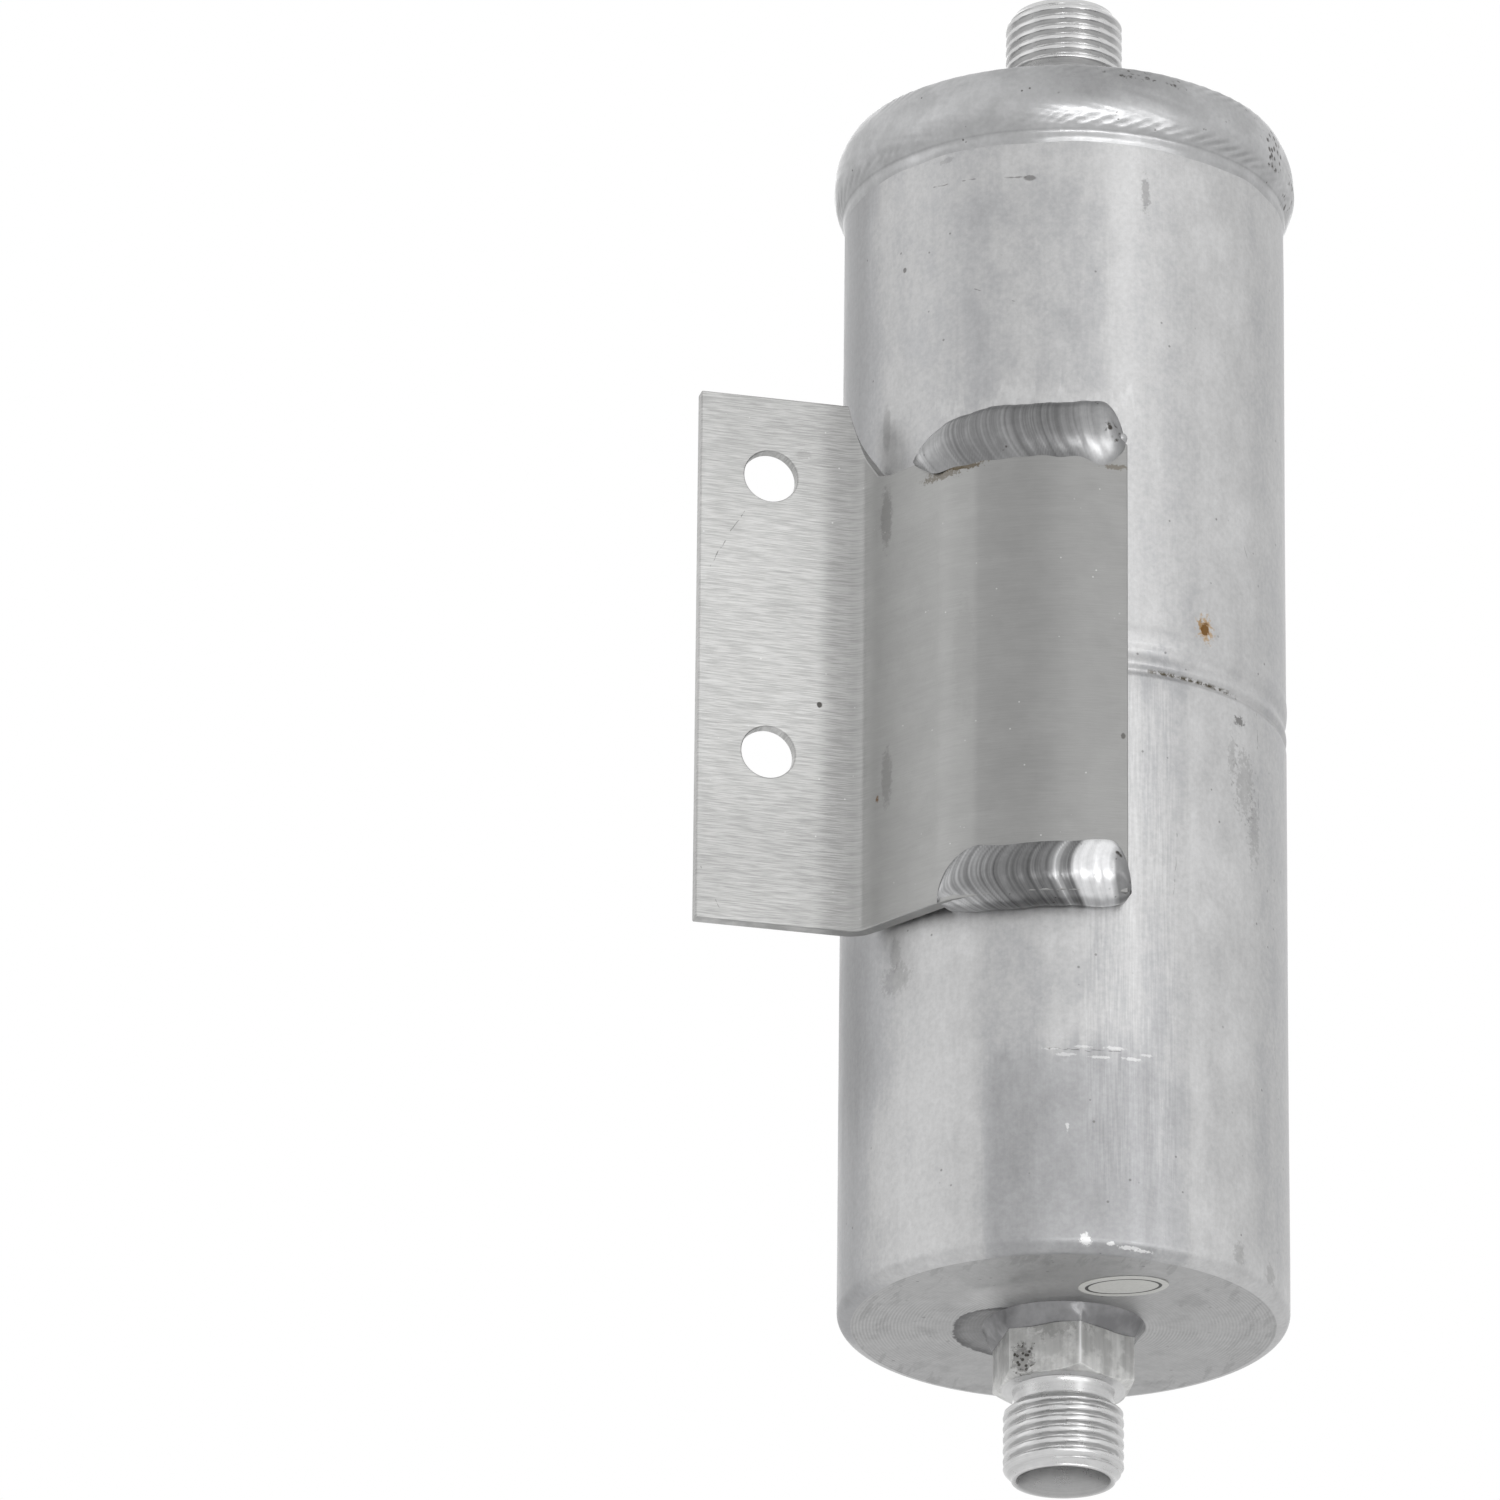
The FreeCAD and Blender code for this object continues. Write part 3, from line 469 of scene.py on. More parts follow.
def union_surface(size, turn, level, side, root_height):
    """Union as one grid of stations by angles. The hexagon is hexagon_radius cut by the
    chamfer's cone; the thread's root is a smooth notch where height / pitch - angle / turn
    passes a half, right-handed at both ends of the part, and it fades out at the neck."""
    around = 288
    turns = columns(around, turn)
    neck = size.hexagon + size.neck_height
    face = neck + size.thread_height
    hexagon = hexagon_radius(size.flats, turns - turn, size.edge)
    chamfer = np.concatenate([
        np.linspace(0, size.hexagon - size.chamfer * 1.15, 6),
        np.linspace(size.hexagon - size.chamfer, size.hexagon - 0.02, 8),
    ])
    widening, inset = 1.41, 0.12
    cone = size.flats / 2 + (size.hexagon - chamfer) * widening / size.chamfer
    block = np.minimum(hexagon, cone[:, None] - inset)
    stations = [
        (np.array([size.bore, size.spigot, size.spigot]),
         np.array([-size.spigot_length, -size.spigot_length, -0.2])),
        (block, chamfer),
        (np.array([8.1, 7.0, size.neck + 0.12, size.neck]),
         np.array([size.hexagon, size.hexagon, size.hexagon + 0.06, size.hexagon + 0.3])),
        (np.full(3, size.neck), np.linspace(size.hexagon + 0.8, neck - 0.5, 3)),
    ]
    depth = np.arange(neck - 0.25, face - 0.05, size.pitch / 14)
    z = level + side * depth
    phase = np.mod((z[:, None] - root_height) / size.pitch - turns / TURN, 1.0)
    wave = step(0.08, 0.72, np.abs(2 * phase - 1))
    crest = size.neck + (size.thread - size.neck) * step(neck - 0.3, neck + 0.75, depth)
    nose = size.thread - size.nose * step(face - size.nose * 1.5, face, depth)
    run_in = step(neck + 0.2, neck + 1.2, depth)[:, None]
    cut = size.thread_depth * run_in * (1 - wave)
    thread = np.minimum(crest[:, None] - cut, nose[:, None])
    stations.append((thread, depth))
    socket = face - size.socket_depth
    stations.append((
        np.array([size.thread - size.nose, size.mouth + 0.12, size.mouth, size.socket,
                  size.socket, size.bore + 0.1, size.bore]),
        np.array([face, face, face - 0.15, face - size.mouth_depth, socket, socket, socket - 0.1]),
    ))
    stations.append((np.full(2, size.bore), np.array([socket - 4, 0.0])))
    radius = np.concatenate([
        r if r.ndim == 2 else r[:, None] + np.zeros(around) for r, d in stations])
    depth_all = np.concatenate([d for r, d in stations])[:, None]
    # Painted light and shade: the ridge mark is a painted highlight along the hexagon's corners,
    # strongest at the front, and the hollow mark is painted shade in the bore.
    brightening = 0.25 + 0.75 * zone(turns - turn, 0.0, 0.4)
    corner = hump(np.mod(turns - turn + TURN / 12, TURN / 6), TURN / 12, 0.03)
    thread_row = sum(len(d) for r, d in stations[:4])
    marks = {}
    for label, first, end, value in (
        ("root", thread_row, thread_row + len(depth), (1 - wave) ** 2 * run_in),
        ("hexagon", 3, 3 + len(chamfer), 1.0),
        ("ridge", 4, len(chamfer) - 5, corner * brightening),
        ("hollow", len(radius) - 8, len(radius), 1.0),
    ):
        marks[label] = np.zeros_like(radius)
        marks[label][first:end] = value
    return round_axis(radius, level + side * depth_all, turns), marks


def braze_surface(size, turn, level, side, seed):
    """Brazed fillet: from the hexagon's side down a hollow curve, a power of the share from
    top to foot, to the face that it wets. Height, width and surface wander a little, and the
    front is a little narrower."""
    around = 288
    turns = columns(around, turn)
    hexagon = hexagon_radius(size.flats, turns - turn, size.edge)
    share = np.linspace(0, 1, 17)[:, None]
    front = zone(turns, 0.0, 1.0)
    tall = size.braze_height * (1 + 0.05 * wander(turns, seed, 2, 9))
    wide = size.braze_radius - 0.3 * front + 0.18 * wander(turns, seed + 1, 1, 7)
    radius = hexagon + 0.05 + (wide - hexagon) * share
    depth = tall * (0.45 * (1 - share) + 0.55 * (1 - share**2.2)) ** 1.25 - 0.03 * share
    lump = 0.04 * wander(turns, seed + 2, 6, 30) * np.sin(math.pi * share) ** 2
    radius = np.concatenate([radius + lump, [hexagon - 1.2, hexagon - 1.0]])
    depth = np.concatenate([depth + lump, [np.full(around, -0.1), tall - 0.3]])
    return round_axis(radius, level + side * depth, turns)


def bracket_path(size):
    """Middle line of the bent sheet, seen from above, as functions of the length along it:
    straight flange, arc to the right, straight web, arc to the left and the saddle's arc."""
    turn = size.web_turn
    sine, cosine = math.sin(turn), math.cos(turn)
    front = size.offset - size.sheet / 2
    soft = math.sqrt((size.saddle - size.soft_bend) ** 2 - (size.web - size.soft_bend) ** 2)
    web_end = np.array([soft * cosine - size.web * sine, -size.web * cosine - soft * sine])
    corner_x = -(size.web - front * cosine) / sine
    setback = size.bend * math.tan(turn / 2)
    web_start = np.array([corner_x + setback * cosine, -front - setback * sine])
    flange = corner_x - setback + size.reach
    web = float(np.linalg.norm(web_end - web_start))
    soft_turn = math.atan2(soft, size.web - size.soft_bend)
    saddle_start = -turn + soft_turn
    saddle = (size.saddle_end - saddle_start) * size.saddle
    return [
        ("flange", flange, 0.0),
        ("bend", turn * size.bend, -1 / size.bend),
        ("web", web, 0.0),
        ("soft_bend", soft_turn * size.soft_bend, 1 / size.soft_bend),
        ("saddle", saddle, 1 / size.saddle),
    ]


def walk(size, along):
    """Place and heading on the middle line: each stretch of constant curvature is a line or
    an arc that starts where the one before it ends."""
    place = np.array([-size.reach, -(size.offset - size.sheet / 2)])
    heading = 0.0
    x = np.zeros_like(along)
    y = np.zeros_like(along)
    done = 0.0
    stretches = bracket_path(size)
    for number, (_, span, bend) in enumerate(stretches):
        last = number == len(stretches) - 1
        inside = (along >= done) & ((along < done + span) | last)
        for here, run in ((inside, along[inside] - done), (None, np.array([span]))):
            if bend:
                dx = (np.sin(heading + bend * run) - math.sin(heading)) / bend
                dy = (math.cos(heading) - np.cos(heading + bend * run)) / bend
            else:
                dx = run * math.cos(heading)
                dy = run * math.sin(heading)
            if here is None:
                place = place + np.array([dx[0], dy[0]])
            else:
                x[here] = place[0] + dx
                y[here] = place[1] + dy
        heading += bend * span
        done += span
    return x, y


def bracket_surface(size):
    """Middle surface of the bracket on a flat grid of length along the sheet and height, then
    bent with walk. Round each hole a square of the grid is replaced by rings that blend from
    the circle to the square; over the saddle the heights shrink to the slanting cut."""
    stretches = {label: span for label, span, _ in bracket_path(size)}
    flange = stretches["flange"]
    total = sum(stretches.values())
    height = size.high - size.low
    half = size.hole * 1.75
    per_side = 16
    fan = half * np.tan(np.linspace(-math.pi / 4, math.pi / 4, per_side + 1))
    upper = height - size.hole_drop
    centres = [(size.hole_edge, upper - size.hole_spacing), (size.hole_edge, upper)]
    u_lines = np.concatenate([
        np.linspace(0, size.hole_edge - half, 4)[:-1],
        size.hole_edge + fan,
        np.linspace(size.hole_edge + half, flange - 0.3, 4)[1:],
        np.linspace(flange, flange + stretches["bend"], 11),
        np.linspace(0, 1, 7)[1:-1] * stretches["web"] + flange + stretches["bend"],
        np.linspace(total - stretches["saddle"] - stretches["soft_bend"], total, 46),
    ])
    v_lines = np.concatenate([
        np.linspace(0, centres[0][1] - half, 9)[:-1],
        centres[0][1] + fan,
        np.linspace(centres[0][1] + half, centres[1][1] - half, 12)[1:-1],
        centres[1][1] + fan,
        np.linspace(centres[1][1] + half, height, 5)[1:],
    ])
    u, v = np.meshgrid(u_lines, v_lines, indexing="ij")
    index = np.arange(u.size).reshape(u.shape)
    faces = np.stack([index[:-1, :-1], index[1:, :-1], index[1:, 1:], index[:-1, 1:]], axis=-1)
    middle_u = (u[:-1, :-1] + u[1:, 1:]) / 2
    middle_v = (v[:-1, :-1] + v[1:, 1:]) / 2
    keep = np.ones(middle_u.shape, bool)
    for cu, cv in centres:
        keep &= ~((np.abs(middle_u - cu) < half) & (np.abs(middle_v - cv) < half))
    flat = [np.stack([u, v], axis=-1).reshape(-1, 2)]
    blocks = [faces[keep].reshape(-1, 4)]
    rings = 6
    bearing = np.linspace(0, TURN, per_side * 4, endpoint=False) - math.pi / 4
    reach = half / np.maximum(np.abs(np.cos(bearing)), np.abs(np.sin(bearing)))
    share = np.linspace(0, 1, rings)[:, None] ** 1.2
    spread = size.hole * (1 - share) + reach * share
    for cu, cv in centres:
        start = sum(len(part) for part in flat)
        ring = np.stack([cu + spread * np.cos(bearing), cv + spread * np.sin(bearing)], axis=-1)
        flat.append(ring.reshape(-1, 2))
        index = start + np.arange(spread.size).reshape(spread.shape)
        beside = np.roll(index, -1, axis=1)
        quads = np.stack([index[:-1], index[1:], beside[1:], beside[:-1]], axis=-1)
        blocks.append(quads.reshape(-1, 4))
    flat = np.concatenate(flat)
    along, up = flat[:, 0], flat[:, 1]
    x, y = walk(size, along)
    saddle_top = size.saddle_high - size.low
    slant = (height - saddle_top) / (size.cut_start - size.cut_end)
    top = np.clip(height - slant * (x + size.cut_start), saddle_top, height)
    up = up * np.where(along > flange, top / height, 1.0)
    points = np.stack([x, y, size.low + up], axis=-1)
    return points, np.concatenate(blocks), along / total


# How the two beads differ: the way from the saddle's edge to the bead's foot, where the section
# bulges, the middle line of the crescents, the crater's depth, the strength of the random stripes
# of painted light and shade and the share of the length where they end, the painted highlight on
# the blob, and the painted light and shade along the bead as pairs of share and factor.
UPPER_BEAD = SimpleNamespace(
    side=1, bulge=0.75, middle=0.35, crater=0.6, stripes=0.2, striped=0.76, glint=0.55, tones=[
        (0.0, 0.82), (0.14, 0.78), (0.24, 0.56), (0.6, 0.5), (0.68, 0.45), (0.74, 0.56),
        (0.8, 0.75), (0.88, 0.78), (0.95, 0.6), (1.0, 0.6)])
LOWER_BEAD = SimpleNamespace(
    side=-1, bulge=0.5, middle=0.5, crater=0.25, stripes=0.34, striped=0.7, glint=0.1, tones=[
        (0.0, 1.0), (0.1, 1.0), (0.13, 0.66), (0.24, 0.6), (0.3, 0.44), (0.5, 0.41), (0.58, 0.33),
        (0.6, 0.55), (0.615, 1.1), (0.64, 1.0), (0.655, 0.44), (0.69, 0.4), (0.705, 1.75),
        (0.87, 1.75), (0.91, 0.66), (1.0, 0.45)])


def stripes(value, pitch, seed):
    """Random levels from -1 to 1, one per pitch of the value, joined by straight lines."""
    levels = np.random.default_rng(seed).uniform(-1, 1, 600)
    return np.interp(value / pitch + 60, np.arange(600), levels)


def bead_surface(size, bracket, can, bead, start, end):
    """Weld bead in the corner of the saddle's edge and the canister. At each station the section
    is a quadratic curve from its foot on the canister to its lap on the sheet, raised by a half
    sine of the share across and closed behind. The ends run out as quarter ellipses. Crescents
    and larger puddles repeat with the run less a trail, a parabola of the share across the face
    on either side of a middle line; puddles are steep in front and flat behind. Towards the
    right end the dome swells into a smooth blob with a shoulder and a crater. The valley mark
    is painted shade in the hollows of the crescents and puddles and at the shoulder. The shade
    mark is painted light and shade: the bead's tones times random stripes that follow the
    crescents, with a painted highlight on the blob."""
    stations, across = 620, 72
    front = slice(0, across // 2 + 1)
    side = bead.side
    outer = bracket.saddle + bracket.sheet / 2
    share = np.linspace(0, 1, stations)[:, None]
    whole = (end - start) * outer
    run = share * whole
    left_end, right_end = 6.5, 3.0
    left = np.sqrt(1 - (1 - np.clip(run / left_end, 0, 1)) ** 2)
    right = np.sqrt(1 - (1 - np.clip((whole - run) / right_end, 0, 1)) ** 2)
    width = left * right
    blob = hump(run, whole - 3.4, 5.0)
    slow = run / whole * math.pi
    if bead is UPPER_BEAD:
        edge = bracket.saddle_high
        lap = 2.3 + 0.9 * blob + 0.6 * hump(run, 3.0, 6.0) + 0.2 * wander(slow, 33, 3, 14)
        foot = 4.2 + 2.5 * np.sin(math.pi * np.clip(run / whole * 0.72, 0, 1)) ** 0.8
        foot = foot + 0.22 * wander(slow, 23, 2, 9)
    else:
        edge = bracket.low
        lap = 7.0 + 0.5 * blob + 0.2 * wander(slow, 31, 2, 9)
        foot = 0.2 + 0.5 * np.sin(slow) + 0.14 * wander(slow, 21, 2, 9)
    foot_at, corner_at, lap_at = (
        np.stack([np.full_like(height, radius), height], axis=-1) for radius, height in (
            (can.radius - 0.06, edge + side * foot * width),
            (outer + 0.1, edge + side * foot * width * bead.bulge),
            (outer - 0.05, edge - side * lap * width),
        ))
    bend = np.linspace(0, 1, across // 2 + 1)
    b = bend[:, None]
    dome = foot_at * (1 - b) ** 2 + corner_at * 2 * b * (1 - b) + lap_at * b**2
    slope = np.gradient(dome, axis=1)
    slope /= np.linalg.norm(slope, axis=2)[..., None] + 1e-9
    normal = np.stack([slope[..., 1], -slope[..., 0]], axis=-1) * -side
    face = (dome[..., 1] - foot_at[..., 1]) / (lap_at[..., 1] - foot_at[..., 1] + 1e-6)
    foot_side = np.clip(bead.middle - face, 0, 1) / bead.middle
    lap_side = np.clip(face - bead.middle, 0, 1) / (1 - bead.middle)
    if bead is UPPER_BEAD:
        trail = size.upper_crescent * (0.3 * foot_side**2 + lap_side**2)
    else:
        trail = size.lower_crescent * ((1.5 - share) * foot_side**2 + 0.55 * lap_side**2)
    path = run - trail
    jitter = 0.16 * wander(slow, 41 + side, 4, 40)
    fine = 1 - (2 * np.mod(path / size.ripple_pitch + jitter, 1.0) - 1) ** 2
    large = np.mod(path / size.puddle_pitch + 0.15 + jitter * 0.5, 1.0)
    puddle = step(0, 1, np.minimum(large / 0.35, (1 - large) / 0.65))
    calm = step(-1.2, -4.4, path - whole + 1.8)
    arched = np.sin(math.pi * bend)
    ripple = size.ripple_height * (fine - 0.5) * (0.6 + 0.4 * wander(slow, 47, 3, 9))
    ripple = (ripple + size.puddle_height * (puddle - 0.5)) * calm * arched**0.6
    shoulder = np.exp(-((path - whole + 4.6) / 0.5) ** 2) * arched
    crater = np.exp(-(((run - whole + 1.5) / 0.7) ** 2 + ((bend - 0.55) / 0.1) ** 2))
    crown = size.crown * (1 + 0.35 * blob) * arched**0.8
    lift = (crown + ripple - 0.16 * shoulder) * width - bead.crater * crater
    dome = dome + normal * lift[..., None]
    back = np.linspace(1, 0, across - across // 2 + 1)[1:-1, None]
    inner = lap_at * back + foot_at * (1 - back)
    inner = inner - np.sin(math.pi * back) * width[..., None] * np.array([0.8, 0.0])
    section = np.concatenate([dome, inner], axis=1)
    # Painted shade in the hollows and at the shoulder; painted light and shade along the bead, with a
    # painted highlight on the blob.
    valley = np.zeros(section.shape[:2])
    valley[:, front] = ((1 - fine) ** 2 * 0.4 + (1 - puddle) ** 2 * 0.35) * calm + shoulder * 0.4
    striped = 0.55 * stripes(path, 0.42, 5 + side) + 0.75 * stripes(path, 0.17, 9 + side)
    striped = striped * (0.06 + bead.stripes * step(0.4, -0.4, path - whole * bead.striped))
    glint = np.exp(-(((run - whole + 4.4) / 1.8) ** 2 + ((face - 0.86) / 0.12) ** 2))
    shade = np.zeros_like(valley)
    shade[:, front] = np.interp(path / whole, *np.array(bead.tones).T) * (1 + striped) - 1
    shade[:, front] += bead.glint * glint
    rows = round_axis(section[..., 0], section[..., 1], start + (end - start) * share)
    return rows, {"valley": np.clip(valley, 0, 1), "shade": shade}


def drop_surface(centre, radius):
    """Small lumpy drop: a ball whose radius wanders a little round its axis."""
    turns = columns(28)
    tilt = np.linspace(-math.pi / 2, math.pi / 2, 17)[1:-1, None]
    swell = radius * (1 + 0.1 * wander(turns, 55, 1, 4) * np.cos(tilt))
    ball = np.stack([swell * np.cos(tilt) * np.sin(turns), -swell * np.cos(tilt) * np.cos(turns),
                     swell * np.sin(tilt) + 0 * turns], axis=-1)
    return ball + np.asarray(centre)


def sticker_surface(size):
    """Thin oval: rings from the middle of its outer face to the rim and back underneath."""
    turns = columns(96)
    share = np.array([0.02, 0.5, 0.93, 0.985, 1.0, 1.0, 0.985, 0.5, 0.02])[:, None]
    drop = np.array([1, 1, 1, 0.85, 0.5, 0.1, 0.02, 0.02, 0.02])[:, None] * size.thick
    x = size.long / 2 * share * np.cos(turns)
    y = size.wide / 2 * share * np.sin(turns)
    cosine, sine = math.cos(size.turn), math.sin(size.turn)
    lifted = drop + 0.05 * step(0.6, 1, share) * (1 + wander(turns, 51, 2, 5)) / 2
    lifted = np.where(np.arange(9)[:, None] < 5, lifted, drop)
    return np.stack([
        size.across + x * cosine - y * sine,
        size.forward + x * sine + y * cosine,
        -lifted + 0 * turns,
    ], axis=-1)


# Nodes

class Value:
    """Output of a node. Reckoning with it adds Math nodes to the same tree."""

    def __init__(self, web, socket):
        self.web = web
        self.socket = socket

    def __add__(self, other):
        return self.web.math("ADD", self, other)

    def __sub__(self, other):
        return self.web.math("SUBTRACT", self, other)

    def __mul__(self, other):
        return self.web.math("MULTIPLY", self, other)

    def __abs__(self):
        return self.web.math("ABSOLUTE", self)

    def remap(self, low, high, to_low=0.0, to_high=1.0):
        """Smooth cubic from to_low at low to to_high at high, level beyond both."""
        inputs = (self, low, high, to_low, to_high)
        return self.web.value("ShaderNodeMapRange", inputs, interpolation_type="SMOOTHSTEP")

    def near_one(self, spread, reach=0.25):
        """For a noise: smooth cubic from 1 - spread to 1 + spread over its middle range."""
        return self.remap(0.5 - reach, 0.5 + reach, 1 - spread, 1 + spread)

    def factor(self, where_set, elsewhere=1.0):
        """For a mask: smooth cubic from elsewhere at 0 to where_set at 1."""
        return self.remap(0, 1, elsewhere, where_set)


class Web:
    """Adds nodes to a tree. A node's inputs are given in its own order or by name, each as a
    number, a tuple, a colour, a socket or a Value."""

    def __init__(self, tree):
        self.tree = tree

    def join(self, value, socket):
        """Link the value to the socket or store it there; a colour gets an alpha of 1."""
        if isinstance(value, Value):
            value = value.socket
        if isinstance(value, bpy.types.NodeSocket):
            self.tree.links.new(value, socket)
        elif socket.type == "RGBA":
            socket.default_value = (*value, 1.0)[:4]
        else:
            socket.default_value = value

    def add(self, kind, inputs=(), **settings):
        """A new node with these settings and inputs."""
        node = self.tree.nodes.new(kind)
        for key, value in settings.items():
            setattr(node, key, value)
        for key, value in inputs.items() if isinstance(inputs, dict) else enumerate(inputs):
            self.join(value, node.inputs[key])
        return node

    def values(self, kind, inputs=(), **settings):
        """All outputs of a new node."""
        return [Value(self, socket) for socket in self.add(kind, inputs, **settings).outputs]

    def value(self, kind, inputs=(), output=0, **settings):
        """One output of a new node."""
        return self.values(kind, inputs, **settings)[output]

    def math(self, operation, *inputs, clamp=False):
        return self.value("ShaderNodeMath", inputs, operation=operation, use_clamp=clamp)

    def vector(self, operation, *inputs):
        """Vector Math node. A length and a dot product are numbers, at its second output."""
        output = int(operation in ("LENGTH", "DOT_PRODUCT"))
        return self.value("ShaderNodeVectorMath", inputs, output, operation=operation)

    def scale(self, vector, factor):
        """The vector times a number."""
        return self.value("ShaderNodeVectorMath", {0: vector, "Scale": factor}, operation="SCALE")

    def local(self, vector):
        """Object coordinates in millimetres above the bottom face."""
        return self.scale(self.vector("SUBTRACT", vector, (0, 0, BOTTOM)), 1 / MM)

    def noise(self, vector, scale, detail=2.0, roughness=0.5):
        inputs = {"Vector": vector, "Scale": scale, "Detail": detail, "Roughness": roughness}
        return self.value("ShaderNodeTexNoise", inputs)

    def mark(self, name):
        """The mesh's own attribute of that name."""
        return self.value("ShaderNodeAttribute", output=2, attribute_name=name)

    def mix(self, share, a, b, blend="MIX"):
        """Colour from a to b by the share."""
        inputs = {0: share, 6: a, 7: b}
        return self.value("ShaderNodeMix", inputs, 2, data_type="RGBA", blend_type=blend)

    def scaled(self, tone, level):
        """The colour times a number."""
        grey = self.value("ShaderNodeCombineColor", (level, level, level))
        return self.mix(1.0, tone, grey, "MULTIPLY")

    def use(self, group, *inputs):
        """The outputs of a node group, or its output if it has only one."""
        tree = bpy.data.node_groups[group]
        outputs = self.values("ShaderNodeGroup", inputs, node_tree=tree)
        return outputs if len(outputs) > 1 else outputs[0]

    def spots(self, tone, place, rows, colour):
        """The tone with ragged spots; a row is middle, reach, raggedness and depth."""
        for middle, reach, ragged, depth in rows:
            mask = self.use("spot", place, middle, reach, ragged)
            tone = self.mix(mask * depth, tone, colour)
        return tone

    def scratches(self, tone, place, rows, depth, colour):
        """The tone with thin lines; a row is start, end and width."""
        for start, end, width in rows:
            mask = self.use("scratch", place, start, end, width)
            tone = self.mix(mask * depth, tone, colour)
        return tone


def effect_round_axis(web, vector):
    """Place as angle in degrees, radius and height in millimetres."""
    x, y, z = web.values("ShaderNodeSeparateXYZ", (vector,))
    turned = web.math("ARCTAN2", x, y * -1.0)
    flat = web.math("SQRT", x * x + y * y)
    return {
        "Angle": web.math("DEGREES", turned),
        "Radius": web.math("DIVIDE", flat, MM),
        "Height": web.math("DIVIDE", z - BOTTOM, MM),
    }


def effect_grain(web, vector, fineness):
    """Grain of drawn or rolled metal: noise that is stretched along one way."""
    stretched = web.vector("MULTIPLY", vector, fineness)
    return {
        "Fine": web.noise(stretched, 1.0, 3.0, 0.6),
        "Broad": web.noise(stretched, 0.13, 3.0, 0.6),
    }


def effect_smudges(web, vector, size, threshold, softness):
    """Cloudy patches where noise of a given size in millimetres passes a threshold."""
    cloud = web.noise(vector, web.math("DIVIDE", 1 / MM, size), 5.0, 0.6)
    return {"Mask": cloud.remap(threshold, threshold + softness)}


def effect_pits(web, vector, spacing, size, threshold):
    """Small pits: cells of a given spacing in millimetres, kept where slow noise is high."""
    scale = web.math("DIVIDE", 1 / MM, spacing)
    distance = web.value("ShaderNodeTexVoronoi", {"Vector": vector, "Scale": scale})
    clumps = web.noise(vector, scale * 0.3)
    return {"Mask": distance.remap(size, size * 0.5) * clumps.remap(threshold, threshold + 0.06)}


def effect_spot(web, vector, middle, reach, ragged):
    """Ragged spot in millimetres above the bottom face: the distance from its middle, as a
    share of its reach and with noise added, turned into a mask."""
    local = web.local(vector)
    away = web.vector("SUBTRACT", local, middle)
    distance = web.vector("LENGTH", web.vector("DIVIDE", away, reach))
    torn = web.noise(local, 1.6, 4.0, 0.7) - 0.5
    return {"Mask": (torn * (ragged * 2.0) + distance).remap(1.15, 0.7)}


def effect_band(web, angle, height, middle, half, softness, low, high, end_softness):
    """Upright band: an angle with a half width, between two heights."""
    aside = abs(angle - middle).remap(half + softness, half)
    above = height.remap(low - end_softness, low)
    below = height.remap(high + end_softness, high)
    return {"Mask": aside * (above * below)}


def effect_scratch(web, vector, start, end, width):
    """Thin line from one place to another in millimetres above the bottom face: the distance
    from the nearest point between them, in coordinates that noise bends a little."""
    local = web.local(vector)
    bent = web.value("ShaderNodeTexNoise", {"Vector": local, "Scale": 0.35, "Detail": 2.0}, 1)
    local = web.vector("ADD", local, web.vector("SUBTRACT", bent, (0.5, 0.5, 0.5)))
    way = web.vector("SUBTRACT", end, start)
    away = web.vector("SUBTRACT", local, start)
    along, whole = web.vector("DOT_PRODUCT", away, way), web.vector("DOT_PRODUCT", way, way)
    nearest = web.scale(way, web.math("DIVIDE", along, whole, clamp=True))
    distance = web.vector("LENGTH", web.vector("SUBTRACT", away, nearest))
    width = width * web.noise(local, 1.1).remap(0.35, 0.6, 0.3, 1.0)
    return {"Mask": distance.remap(width, width * 0.4)}


NUMBER = "NodeSocketFloat"
VECTOR = "NodeSocketVector"

# Node groups: what makes each, and its inputs
EFFECTS = {
    "round the axis": (effect_round_axis, {"Vector": VECTOR}),
    "grain": (effect_grain, {"Vector": VECTOR, "Fineness": VECTOR}),
    "smudges": (effect_smudges, {
        "Vector": VECTOR, "Size": NUMBER, "Threshold": NUMBER, "Softness": NUMBER}),
    "pits": (effect_pits, {
        "Vector": VECTOR, "Spacing": NUMBER, "Size": NUMBER, "Threshold": NUMBER}),
    "spot": (effect_spot, {
        "Vector": VECTOR, "Middle": VECTOR, "Reach": VECTOR, "Ragged": NUMBER}),
    "band": (effect_band, {
        "Angle": NUMBER, "Height": NUMBER, "Middle": NUMBER, "Half width": NUMBER,
        "Softness": NUMBER, "Low": NUMBER, "High": NUMBER, "End softness": NUMBER}),
    "scratch": (effect_scratch, {
        "Vector": VECTOR, "Start": VECTOR, "End": VECTOR, "Width": NUMBER}),
}


def make_effects():
    """A node group for each effect, whose outputs are what the effect returns."""
    for name, (effect, inputs) in EFFECTS.items():
        tree = bpy.data.node_groups.new(name, "ShaderNodeTree")
        for label, kind in inputs.items():
            tree.interface.new_socket(label, in_out="INPUT", socket_type=kind)
        web = Web(tree)
        entry = web.values("NodeGroupInput")[:len(inputs)]
        outputs = effect(web, *entry)
        for label in outputs:
            tree.interface.new_socket(label, in_out="OUTPUT", socket_type=NUMBER)
        web.add("NodeGroupOutput", outputs)
